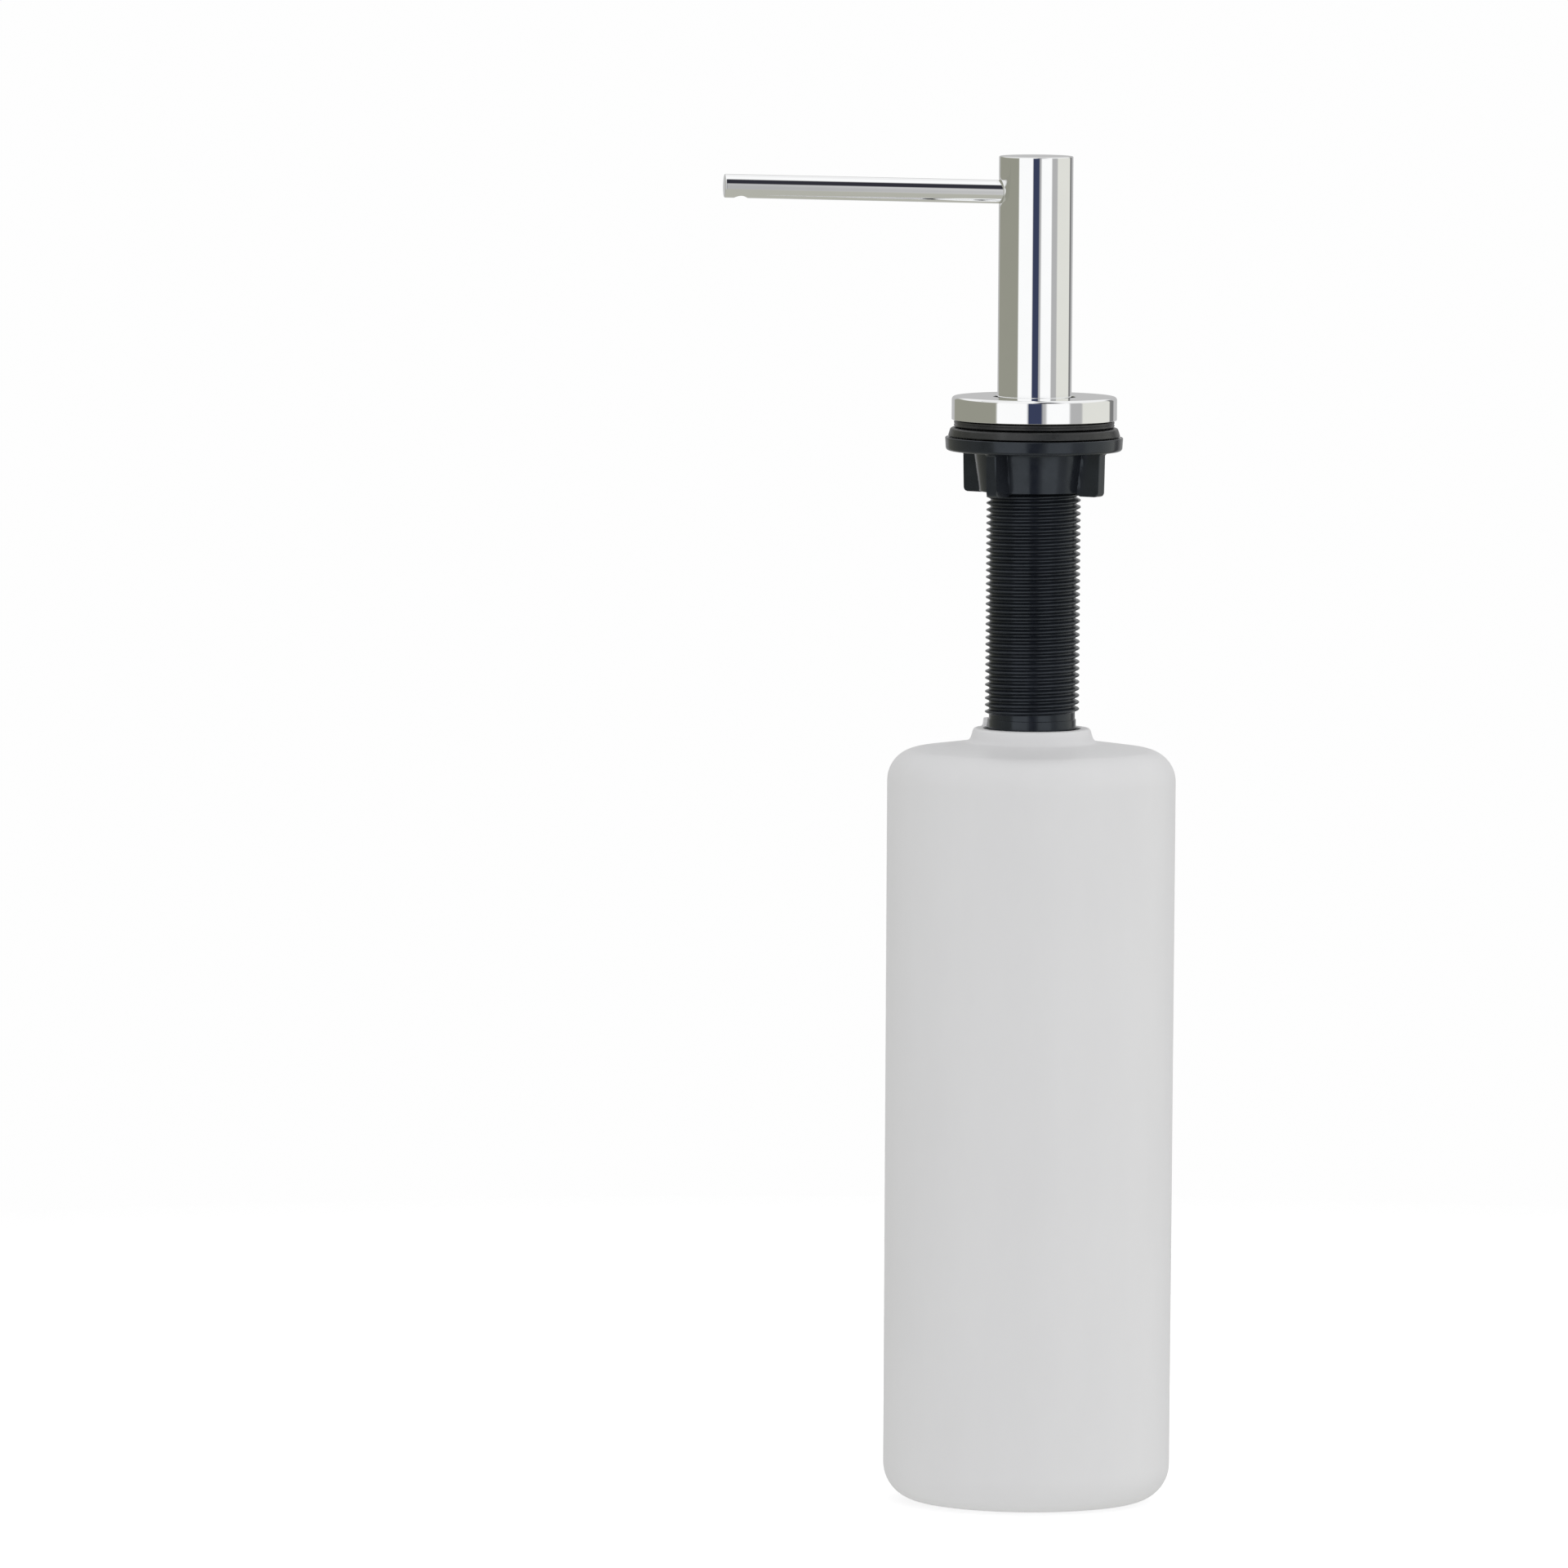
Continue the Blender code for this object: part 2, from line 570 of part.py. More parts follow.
def make_head_body(parts, helpers, material):
    """Hollow cylinder with a flat closed top and a countersunk side hole for the spout."""
    ceiling = HEAD_TOP - HEAD_CAP
    profile = [
        (0.0, HEAD_TOP),
        (HEAD_R, HEAD_TOP, HEAD_EDGE),
        (HEAD_R, HEAD_BOTTOM),
        (HEAD_BORE_R, HEAD_BOTTOM),
        (HEAD_BORE_R, ceiling),
        (0.0, ceiling),
    ]
    head = turned("head_body", profile, parts, material, FINE, closed=False, z=HEAD_BOTTOM)
    hole_r = SPOUT_R + GAP
    flare = RECESS_R - hole_r
    sink = [
        (0.0, HEAD_R + JOIN),
        (RECESS_R + JOIN, HEAD_R + JOIN),
        (RECESS_R, HEAD_R),
        (hole_r, HEAD_R - flare),
        (hole_r, HEAD_BORE_R / 2),
        (0.0, HEAD_BORE_R / 2),
    ]
    spout_hole = turned("head_spout_hole", sink, helpers, steps=MEDIUM, closed=False)
    along_spout(spout_hole)
    combine(head, spout_hole, "DIFFERENCE")
    return head


def make_spout(parts, helpers, material):
    """Tube with a blind tip; it opens inside the head and through a hole under its tip."""
    start = SPOUT_START + GAP
    length = SPOUT_REACH / math.cos(SPOUT_RISE)
    blind = length - SPOUT_TIP_WALL
    profile = [
        (0.0, length),
        (SPOUT_R, length, SPOUT_EDGE),
        (SPOUT_R, start),
        (SPOUT_BORE_R, start),
        (SPOUT_BORE_R, blind),
        (0.0, blind),
    ]
    spout = turned("spout", profile, parts, material, SMALL, closed=False)
    along_spout(spout)
    outlet = turned(
        "spout_outlet",
        [(0.0, 0.0), (OUTLET_R, 0.0), (OUTLET_R, -2 * SPOUT_R), (0.0, -2 * SPOUT_R)],
        helpers,
        steps=TINY,
        closed=False,
    )
    tip = SPOUT_REACH - OUTLET_FROM_TIP
    outlet.location = (-tip, 0.0, SPOUT_LEVEL + tip * math.tan(SPOUT_RISE))
    combine(spout, outlet, "DIFFERENCE")
    return spout


def make_spout_socket(parts, helpers, material):
    """Block under the head's ceiling: the spout enters from the side, the riser tube from below."""
    top = HEAD_TOP - HEAD_CAP - GAP
    bottom = top - SOCKET_BLOCK_HEIGHT
    riser_stop = bottom + RISER_SOCKET
    riser_end = SPOUT_LEVEL - SPOUT_BORE_R / 2
    profile = [
        (0.0, top),
        (INSERT_R, top),
        (INSERT_R, bottom),
        (TUBE_HOLE_R, bottom),
        (TUBE_HOLE_R, riser_stop),
        (RISER_BORE_R, riser_stop),
        (RISER_BORE_R, riser_end),
        (0.0, riser_end),
    ]
    socket = turned("spout_socket", profile, parts, material, MEDIUM, closed=False, z=bottom)
    hole_r = SPOUT_R + GAP
    far_side = -RISER_BORE_R - SPOUT_STOP / 2
    cross = [
        (0.0, HEAD_R),
        (hole_r, HEAD_R),
        (hole_r, SPOUT_START),
        (SPOUT_BORE_R, SPOUT_START),
        (SPOUT_BORE_R, far_side),
        (0.0, far_side),
    ]
    cross_bore = turned("socket_cross_bore", cross, helpers, steps=SMALL, closed=False)
    along_spout(cross_bore)
    combine(socket, cross_bore, "DIFFERENCE")
    return socket


def make_riser_tube(parts, material):
    block_bottom = HEAD_TOP - HEAD_CAP - GAP - SOCKET_BLOCK_HEIGHT
    top = block_bottom + RISER_SOCKET - GAP
    bottom = ADAPTER_TOP - RISER_SOCKET + GAP
    return ring("riser_tube", RISER_BORE_R, TUBE_R, bottom, top, parts, material, SMALL)


def make_stem_adapter(parts, material):
    """Plug in the head's lower end: stem socket, valve chamber and riser socket on one axis."""
    chamber_floor = ADAPTER_BOTTOM + STEM_SOCKET
    chamber_top = chamber_floor + VALVE_CHAMBER_HEIGHT
    profile = [
        (INSERT_R, ADAPTER_TOP),
        (INSERT_R, ADAPTER_BOTTOM),
        (STEM_HOLE_R, ADAPTER_BOTTOM),
        (STEM_HOLE_R, chamber_floor),
        (VALVE_CHAMBER_R, chamber_floor),
        (VALVE_CHAMBER_R, chamber_top),
        (ADAPTER_CHANNEL_R, chamber_top),
        (ADAPTER_CHANNEL_R, ADAPTER_TOP - RISER_SOCKET),
        (TUBE_HOLE_R, ADAPTER_TOP - RISER_SOCKET),
        (TUBE_HOLE_R, ADAPTER_TOP),
    ]
    return turned("stem_adapter", profile, parts, material, MEDIUM, z=ADAPTER_BOTTOM)


def make_ball(name, radius, level, parts, material):
    mesh = bpy.data.meshes.new(name)
    shape = bmesh.new()
    bmesh.ops.create_uvsphere(shape, u_segments=TINY, v_segments=TINY // 2, radius=radius)
    shape.to_mesh(mesh)
    shape.free()
    mesh.materials.append(material)
    ball = bpy.data.objects.new(name, mesh)
    ball.location = (0.0, 0.0, level)
    parts.objects.link(ball)
    return ball


def make_stem(parts, material):
    return ring("stem", STEM_BORE_R, STEM_R, STEM_BOTTOM, STEM_TOP, parts, material, SMALL)


def make_piston(parts, material):
    """Socket for the stem above, a soap channel through it and a lip at each end."""
    lip_r = PUMP_BORE_R - GAP
    waist_r = lip_r - PISTON_WAIST
    profile = [
        (STEM_HOLE_R, PISTON_TOP),
        (lip_r, PISTON_TOP),
        (lip_r, PISTON_TOP - PISTON_LIP),
        (waist_r, PISTON_TOP - PISTON_LIP - PISTON_WAIST),
        (waist_r, PISTON_BOTTOM + PISTON_LIP + PISTON_WAIST),
        (lip_r, PISTON_BOTTOM + PISTON_LIP),
        (lip_r, PISTON_BOTTOM),
        (STEM_BORE_R, PISTON_BOTTOM),
        (STEM_BORE_R, PISTON_TOP - STEM_SOCKET),
        (STEM_HOLE_R, PISTON_TOP - STEM_SOCKET),
    ]
    return turned("piston", profile, parts, material, MEDIUM, z=PISTON_TOP)


def make_return_spring(parts, material):
    """A helix of round wire, flat for half a turn at each end."""
    points_per_turn = 10
    low = CAGE_TOP + GAP + SPRING_WIRE_R
    high = PISTON_BOTTOM - GAP - SPRING_WIRE_R
    flat = points_per_turn // 2
    count = SPRING_TURNS * points_per_turn
    climb = count - 2 * flat
    curve = bpy.data.curves.new("return_spring", "CURVE")
    curve.dimensions = "3D"
    curve.bevel_depth = SPRING_WIRE_R
    curve.bevel_resolution = 2
    curve.use_fill_caps = True
    spline = curve.splines.new("POLY")
    spline.points.add(count)
    for index, point in enumerate(spline.points):
        angle = math.tau * index / points_per_turn
        share = min(max((index - flat) / climb, 0.0), 1.0)
        end_lift = 2.3 * SPRING_WIRE_R * (min(index, flat) + max(index - count + flat, 0)) / flat
        level = low + end_lift + (high - low - 4.6 * SPRING_WIRE_R) * share
        point.co = (SPRING_R * math.cos(angle), SPRING_R * math.sin(angle), level - low, 1.0)
    spring = bpy.data.objects.new("return_spring", curve)
    spring.location = (0.0, 0.0, low)
    curve.materials.append(material)
    parts.objects.link(spring)
    return spring


def make_pump_collar(parts, material):
    """Stem guide: a cap on the pump's flange with a plug down into its bore."""
    plug_r = PUMP_BORE_R - GAP
    profile = [
        (STEM_HOLE_R, CAP_BOTTOM + CAP_HEIGHT),
        (PUMP_FLANGE_R, CAP_BOTTOM + CAP_HEIGHT, CAP_EDGE),
        (PUMP_FLANGE_R, CAP_BOTTOM),
        (plug_r, CAP_BOTTOM),
        (plug_r, PLUG_BOTTOM),
        (STEM_HOLE_R, PLUG_BOTTOM),
    ]
    return turned("pump_collar", profile, parts, material, MEDIUM, z=CAP_BOTTOM)


def make_pump_housing(parts, material):
    """Flanged cylinder that narrows to a conical ball seat and a socket for the dip tube."""
    outer = PUMP_BORE_R + PUMP_WALL
    socket_r = TUBE_HOLE_R + PUMP_WALL
    profile = [
        (PUMP_BORE_R, PUMP_FLANGE_TOP),
        (PUMP_FLANGE_R, PUMP_FLANGE_TOP),
        (PUMP_FLANGE_R, PUMP_FLANGE_BOTTOM),
        (outer, PUMP_FLANGE_BOTTOM),
        (outer, PUMP_FLOOR - PUMP_WALL),
        (socket_r, PUMP_FLOOR - PUMP_WALL - (outer - socket_r)),
        (socket_r, TUBE_STOP - TUBE_SOCKET),
        (TUBE_HOLE_R, TUBE_STOP - TUBE_SOCKET),
        (TUBE_HOLE_R, TUBE_STOP),
        (INLET_R, TUBE_STOP),
        (INLET_R, SEAT_BOTTOM),
        (BALL_CHAMBER_R, CHAMBER_FLOOR),
        (BALL_CHAMBER_R, PUMP_FLOOR),
        (PUMP_BORE_R, PUMP_FLOOR),
    ]
    return turned("pump_housing", profile, parts, material, MEDIUM, z=PUMP_FLANGE_BOTTOM)


def make_pump_gasket(parts, material):
    inner = PUMP_BORE_R + PUMP_WALL + GAP
    bottom = LEDGE_LEVEL + GAP
    top = bottom + PUMP_GASKET_HEIGHT
    return ring("pump_gasket", inner, PUMP_FLANGE_R, bottom, top, parts, material, MEDIUM)


def make_ball_cage(parts, helpers, material):
    """Disc with a cross of slots: soap passes through them and the ball can't."""
    profile = [
        (0.0, CAGE_TOP),
        (PUMP_BORE_R - GAP, CAGE_TOP),
        (PUMP_BORE_R - GAP, CAGE_BOTTOM),
        (0.0, CAGE_BOTTOM),
    ]
    cage = turned("ball_cage", profile, parts, material, SMALL, closed=False, z=CAGE_BOTTOM)
    slot_length = 2 * (SPRING_R - 3 * SPRING_WIRE_R)
    for index in range(2):
        centre = (0.0, 0.0, (CAGE_TOP + CAGE_BOTTOM) / 2)
        size = (slot_length, CAGE_SLOT, 2 * CAGE_HEIGHT)
        slot = block(f"cage_slot_{index}", size, centre, helpers, index * math.pi / 2)
        combine(cage, slot, "DIFFERENCE")
    return cage


def make_dip_tube(parts, material):
    inner = TUBE_R - TUBE_WALL
    return ring("dip_tube", inner, TUBE_R, TUBE_BOTTOM, TUBE_TOP, parts, material, SMALL)


def inlet_ball_level():
    """The ball's centre where it rests on the 45 degree seat with the usual gap."""
    cone_tip = SEAT_BOTTOM - INLET_R
    return cone_tip + (INLET_BALL_R + GAP) * math.sqrt(2.0)


def outlet_ball_level():
    """The ball's centre where it rests on the rim of the stem's bore with the usual gap."""
    return STEM_TOP + math.sqrt(OUTLET_BALL_R**2 - STEM_BORE_R**2) + GAP


def main():
    clear_scene()
    parts = new_collection("soap_pump_dispenser")
    helpers = new_collection("cutters_and_joined_shapes")
    chrome = (0.78, 0.79, 0.80)
    black = (0.016, 0.018, 0.022)
    natural = (0.80, 0.80, 0.78)
    steel = (0.62, 0.62, 0.60)
    rubber = (0.020, 0.020, 0.021)

    make_escutcheon(parts, finish("escutcheon_chrome", chrome, 0.06, 1.0))
    make_gasket(parts, finish("gasket_rubber", rubber, 0.55))
    make_shank(parts, helpers, finish("shank_plastic", black, 0.32))

    washer = make_washer(parts, finish("washer_rubber", rubber, 0.6))
    nut = make_wing_nut(parts, helpers, finish("nut_plastic", black, 0.38))
    hang(axis_empty("clamp_axis", WASHER_TOP, parts), [washer, nut])

    bottle = make_bottle(parts, helpers, finish("bottle_plastic", (0.80, 0.81, 0.82), 0.42))
    seal = make_bottle_seal(parts, finish("seal_rubber", rubber, 0.6))
    hang(axis_empty("bottle_axis", NECK_TOP, parts), [bottle, seal])

    ball_steel = finish("ball_steel", steel, 0.15, 1.0)
    head = [
        make_head_body(parts, helpers, finish("head_chrome", chrome, 0.05, 1.0)),
        make_spout(parts, helpers, finish("spout_chrome", chrome, 0.06, 1.0)),
        make_spout_socket(parts, helpers, finish("socket_plastic", natural, 0.45)),
        make_riser_tube(parts, finish("riser_plastic", natural, 0.4)),
        make_stem_adapter(parts, finish("adapter_plastic", natural, 0.45)),
        make_stem(parts, finish("stem_plastic", natural, 0.4)),
        make_ball("outlet_ball", OUTLET_BALL_R, outlet_ball_level(), parts, ball_steel),
        make_piston(parts, finish("piston_plastic", (0.72, 0.76, 0.80), 0.4)),
    ]
    hang(axis_empty("head_axis", PISTON_TOP, parts), head)

    pump = [
        make_return_spring(parts, finish("spring_steel", steel, 0.22, 1.0)),
        make_pump_collar(parts, finish("collar_plastic", black, 0.4)),
        make_pump_housing(parts, finish("housing_plastic", natural, 0.4)),
        make_pump_gasket(parts, finish("pump_gasket_rubber", rubber, 0.6)),
        make_ball_cage(parts, helpers, finish("cage_plastic", natural, 0.45)),
        make_ball("inlet_ball", INLET_BALL_R, inlet_ball_level(), parts, ball_steel),
        make_dip_tube(parts, finish("tube_plastic", (0.82, 0.83, 0.82), 0.35)),
    ]
    hang(axis_empty("pump_axis", PUMP_FLANGE_BOTTOM, parts), pump)
    for obj in parts.objects:
        if obj.type == "MESH":
            show_round(obj)


main()
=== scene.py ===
"""Looks of a deck-mounted soap pump dispenser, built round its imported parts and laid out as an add-on.

Sizes are in metres. Every new piece is a surface worked out with numpy in the frame's own place.
"""

import math

import bmesh
import bpy
import numpy as np
from bpy.props import FloatProperty, FloatVectorProperty, IntProperty, PointerProperty
from mathutils import Matrix, Vector


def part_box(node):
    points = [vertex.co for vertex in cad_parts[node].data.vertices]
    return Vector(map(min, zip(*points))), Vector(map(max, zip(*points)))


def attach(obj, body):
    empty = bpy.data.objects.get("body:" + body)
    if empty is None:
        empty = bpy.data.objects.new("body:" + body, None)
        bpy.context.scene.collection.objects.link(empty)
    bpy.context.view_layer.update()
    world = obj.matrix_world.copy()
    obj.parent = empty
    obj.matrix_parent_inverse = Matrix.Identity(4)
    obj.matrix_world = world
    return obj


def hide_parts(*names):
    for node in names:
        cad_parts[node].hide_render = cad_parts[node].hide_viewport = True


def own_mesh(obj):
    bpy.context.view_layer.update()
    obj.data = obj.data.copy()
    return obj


bl_info = {
    "name": "Soap pump dispenser",
    "version": (1, 0, 0),
    "blender": (4, 5, 0),
    "location": "3D View > Sidebar > Dispenser",
    "description": "Fine surfaces and finishes for a deck-mounted soap pump dispenser",
    "category": "Add Mesh",
}

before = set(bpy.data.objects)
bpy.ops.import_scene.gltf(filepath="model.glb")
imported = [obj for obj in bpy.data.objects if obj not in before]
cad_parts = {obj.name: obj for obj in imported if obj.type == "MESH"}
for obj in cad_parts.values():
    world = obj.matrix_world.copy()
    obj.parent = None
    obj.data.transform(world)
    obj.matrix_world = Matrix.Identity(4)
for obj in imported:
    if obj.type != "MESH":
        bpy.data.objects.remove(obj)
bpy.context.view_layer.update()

MM = 0.001
# Radius of a bore that clears the shank's thread
THREAD_BORE_R = 14.3 * MM
TAU = math.tau
WELD = 2e-7


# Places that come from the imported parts


def low(node):
    """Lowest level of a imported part."""
    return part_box(node)[0].z


def high(node):
    """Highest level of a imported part."""
    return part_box(node)[1].z


def reach(node):
    """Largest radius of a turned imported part."""
    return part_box(node)[1].x


# Outlines and surfaces


def unit(vector):
    return vector / np.linalg.norm(vector)


def held(points, closed, hold):
    """Adds a point close to each end of every long straight, so that flats stay flat beside their arcs."""
    ahead = np.roll(points, -1, axis=0) if closed else points[1:]
    here = points if closed else points[:-1]
    step = ahead - here
    length = np.linalg.norm(step, axis=1, keepdims=True)
    share = hold / np.maximum(length, hold)
    stack = np.stack([here, here + step * share, ahead - step * share], axis=1)
    long = length[:, 0] > 4 * hold
    kept = stack[np.stack([np.ones_like(long), long, long], axis=1)]
    return kept if closed else np.concatenate([kept, points[-1:]])


def outline(corners, closed=True, steps=8, hold=0.25 * MM):
    """The path through corners (r, z, radius); a radius makes the corner an arc tangent to both sides."""
    spots = [np.array(corner[:2]) for corner in corners]
    runs = []
    for index, corner in enumerate(corners):
        spot = spots[index]
        if len(corner) < 3:
            runs.append(spot[None])
            continue
        back = unit(spots[index - 1] - spot)
        ahead = unit(spots[(index + 1) % len(spots)] - spot)
        half = math.acos(np.clip(back @ ahead, -1.0, 1.0)) / 2
        centre = spot + unit(back + ahead) * corner[2] / math.sin(half)
        start = spot + back * corner[2] / math.tan(half) - centre
        end = spot + ahead * corner[2] / math.tan(half) - centre
        turn = math.pi - 2 * half
        share = np.linspace(0.0, 1.0, steps + 1)[:, None]
        arc = start * np.sin((1 - share) * turn) + end * np.sin(share * turn)
        runs.append(centre + arc / math.sin(turn))
    return held(np.concatenate(runs), closed, hold)


def spun(profile, count, closed=True):
    """A patch: each (r, z) of the profile carried round Z, x = r cos a and y = r sin a for count angles a."""
    angle = np.arange(count) * TAU / count
    r, z = profile.T
    x = np.cos(angle)[:, None] * r
    y = np.sin(angle)[:, None] * r
    return np.stack([x, y, np.broadcast_to(z, x.shape)], axis=-1), True, closed, None


def grid_faces(rows, columns, wrap_rows, wrap_columns, keep):
    """Four corners of every cell of a grid; a wrapped side joins its last line to its first."""
    row = np.arange(rows if wrap_rows else rows - 1)[:, None]
    column = np.arange(columns if wrap_columns else columns - 1)[None, :]
    next_row, next_column = (row + 1) % rows, (column + 1) % columns
    ends = [row * columns + column, row * columns + next_column]
    ends += [next_row * columns + next_column, next_row * columns + column]
    faces = np.stack(ends, axis=-1)
    return faces.reshape(-1, 4) if keep is None else faces[keep]


def make_piece(name, patches, material, body, nodes, sharp=40.0):
    """One object of welded grid patches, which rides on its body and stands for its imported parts."""
    points, faces, start = [], [], 0
    for grid, wrap_rows, wrap_columns, keep in patches:
        rows, columns = grid.shape[:2]
        points.append(grid.reshape(-1, 3))
        faces.append(grid_faces(rows, columns, wrap_rows, wrap_columns, keep) + start)
        start += rows * columns
    points = np.concatenate(points).astype(np.float32)
    faces = np.concatenate(faces).astype(np.int32)
    mesh = bpy.data.meshes.new(name)
    mesh.vertices.add(len(points))
    mesh.vertices.foreach_set("co", points.ravel())
    mesh.loops.add(faces.size)
    mesh.loops.foreach_set("vertex_index", faces.ravel())
    mesh.polygons.add(len(faces))
    mesh.polygons.foreach_set("loop_start", np.arange(0, faces.size, 4, dtype=np.int32))
    mesh.update(calc_edges=True)
    weld = bmesh.new()
    weld.from_mesh(mesh)
    bmesh.ops.remove_doubles(weld, verts=weld.verts, dist=WELD)
    bmesh.ops.dissolve_degenerate(weld, edges=weld.edges, dist=WELD)
    weld.to_mesh(mesh)
    weld.free()
    mesh.shade_smooth()
    mesh.set_sharp_from_angle(angle=math.radians(sharp))
    mesh.materials.append(material)
    piece = bpy.data.objects.new(name, mesh)
    bpy.context.scene.collection.objects.link(piece)
    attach(piece, body)
    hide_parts(*nodes)
    return piece


def pierced(before, between, after, outer_r, inner_r, level, rims, count, cells):
    """A turned shell with one round side hole at angle 0.

    The two walls are grids in angle and height with a square of cells left out. In its place a polar grid
    runs from the square's edge in to the hole, through the wall by the rims (hole radius, wall radius), and
    out again inside.
    """
    step = TAU / count
    climb = np.arange(cells, -cells - 1, -1) * outer_r * step + level
    outer_rows = np.stack([np.full_like(climb, outer_r), climb], axis=1)
    inner_rows = np.stack([np.full_like(climb, inner_r), climb[::-1]], axis=1)
    profile = np.concatenate([before, outer_rows, between, inner_rows, after])
    wall = spun(profile, count, closed=False)[0]
    keep = np.ones((count, len(profile) - 1), bool)
    beside = np.arange(-cells, cells) % count
    for first in (len(before), len(before) + len(outer_rows) + len(between)):
        keep[beside[:, None], np.arange(first, first + 2 * cells)] = False
    ramp = np.arange(-cells, cells)
    edge = np.full_like(ramp, cells)
    across = np.concatenate([edge, -ramp, -edge, ramp]) * step
    along = np.concatenate([-ramp, -edge, ramp, edge]) * outer_r * step
    bearing = np.arctan2(along, outer_r * across)[:, None]
    across, along = across[:, None], along[:, None]
    share = np.linspace(0.0, 1.0, 9)[None, :]

    def on_wall(radius, rim, part):
        spot = np.arcsin(rim * np.cos(bearing) / radius)
        angle = across + (spot - across) * part
        height = along + (rim * np.sin(bearing) - along) * part
        return np.stack([radius * np.cos(angle), radius * np.sin(angle), level + height], axis=-1)

    rim_r, wall_r = np.array(rims).T
    side = rim_r * np.cos(bearing)
    throat = np.stack([np.sqrt(wall_r**2 - side**2), side, level + rim_r * np.sin(bearing)], axis=-1)
    into = on_wall(outer_r, rims[0][0], share)
    out = on_wall(inner_r, rims[-1][0], share[:, ::-1])
    patch = np.concatenate([into, throat[:, 1:-1], out], axis=1)
    return [(wall, True, False, keep), (patch, True, False, None)]


def turned_about(patches, matrix):
    """The patches moved by a 4 by 4 matrix."""
    turn = np.array(matrix)
    return [(grid @ turn[:3, :3].T + turn[:3, 3], *rest) for grid, *rest in patches]


# Finishes


def new_finish(name):
    """An empty Principled material with its tree, shader and object coordinates."""
    material = bpy.data.materials.new(name)
    material.use_nodes = True
    tree = material.node_tree
    shader = tree.nodes["Principled BSDF"]
    place = tree.nodes.new("ShaderNodeTexCoord").outputs["Object"]
    return material, tree, shader, place


def noise(tree, place, scale, detail=3.0, rough=0.5, stretch=None):
    """Noise at so many waves a metre, stretched along an axis if asked."""
    if stretch:
        mapping = tree.nodes.new("ShaderNodeMapping")
        mapping.inputs["Scale"].default_value = stretch
        tree.links.new(place, mapping.inputs["Vector"])
        place = mapping.outputs["Vector"]
    node = tree.nodes.new("ShaderNodeTexNoise")
    node.inputs["Scale"].default_value = scale
    node.inputs["Detail"].default_value = detail
    node.inputs["Roughness"].default_value = rough
    tree.links.new(place, node.inputs["Vector"])
    return node.outputs["Fac"]


def remap(tree, value, low_in, high_in, low_out, high_out):
    node = tree.nodes.new("ShaderNodeMapRange")
    for socket, number in zip(node.inputs[1:5], (low_in, high_in, low_out, high_out)):
        socket.default_value = number
    tree.links.new(value, node.inputs["Value"])
    return node.outputs["Result"]


def blend_colors(tree, factor, first, second):
    """Mix of two colours, each a socket or three values."""
    node = tree.nodes.new("ShaderNodeMix")
    node.data_type = "RGBA"
    tree.links.new(factor, node.inputs["Factor"])
    for name, value in (("A", first), ("B", second)):
        if isinstance(value, bpy.types.NodeSocket):
            tree.links.new(value, node.inputs[name])
        else:
            node.inputs[name].default_value = (*value, 1.0)
    return node.outputs["Result"]


def bump(tree, shader, height, distance, strength=1.0, under=None):
    """A bump of this height in metres; under is an earlier bump that it lies on."""
    node = tree.nodes.new("ShaderNodeBump")
    node.inputs["Strength"].default_value = strength
    node.inputs["Distance"].default_value = distance
    tree.links.new(height, node.inputs["Height"])
    if under:
        tree.links.new(under, node.inputs["Normal"])
    tree.links.new(node.outputs["Normal"], shader.inputs["Normal"])
    return node.outputs["Normal"]


def chrome(name, tint):
    """Bright plating: faint cloudiness in tint and gloss, and a polish ripple that only reflections show."""
    material, tree, shader, place = new_finish(name)
    cloud = noise(tree, place, 160.0, 4.0)
    deeper = tuple(channel * 0.965 for channel in tint)
    tree.links.new(blend_colors(tree, cloud, deeper, tint), shader.inputs["Base Color"])
    shader.inputs["Metallic"].default_value = 1.0
    gloss = remap(tree, noise(tree, place, 900.0, 5.0, 0.6), 0.35, 0.75, 0.012, 0.032)
    tree.links.new(gloss, shader.inputs["Roughness"])
    bump(tree, shader, noise(tree, place, 70.0, 2.0), 0.006 * MM)
    return material


def black_plastic(name, color, gloss, grain):
    """Moulded black plastic: a slight bloom in the colour, uneven gloss and a fine moulded grain."""
    material, tree, shader, place = new_finish(name)
    bloom = remap(tree, noise(tree, place, 120.0, 5.0, 0.6), 0.35, 0.7, 0.0, 1.0)
    paler = tuple(channel * 1.6 + 0.002 for channel in color)
    tree.links.new(blend_colors(tree, bloom, color, paler), shader.inputs["Base Color"])
    uneven = remap(tree, noise(tree, place, 420.0, 4.0), 0.3, 0.7, gloss - 0.05, gloss + 0.07)
    tree.links.new(uneven, shader.inputs["Roughness"])
    shader.inputs["IOR"].default_value = 1.5
    shader.inputs["Specular IOR Level"].default_value = 0.5
    shader.inputs["Specular Tint"].default_value = (0.80, 0.90, 1.0, 1.0)
    under = bump(tree, shader, noise(tree, place, 1400.0, 3.0), grain)
    bump(tree, shader, noise(tree, place, 140.0, 2.0), 4.0 * grain, 0.6, under)
    return material


def rubber(name, color):
    """Dull rubber: dusty patches and a sanded surface."""
    material, tree, shader, place = new_finish(name)
    dust = remap(tree, noise(tree, place, 260.0, 6.0, 0.65), 0.45, 0.8, 0.0, 1.0)
    dusty = tuple(channel * 1.8 + 0.006 for channel in color)
    tree.links.new(blend_colors(tree, dust, color, dusty), shader.inputs["Base Color"])
    uneven = remap(tree, noise(tree, place, 700.0, 4.0), 0.3, 0.7, 0.24, 0.36)
    tree.links.new(uneven, shader.inputs["Roughness"])
    bump(tree, shader, noise(tree, place, 1800.0, 4.0, 0.6), 0.004 * MM)
    return material


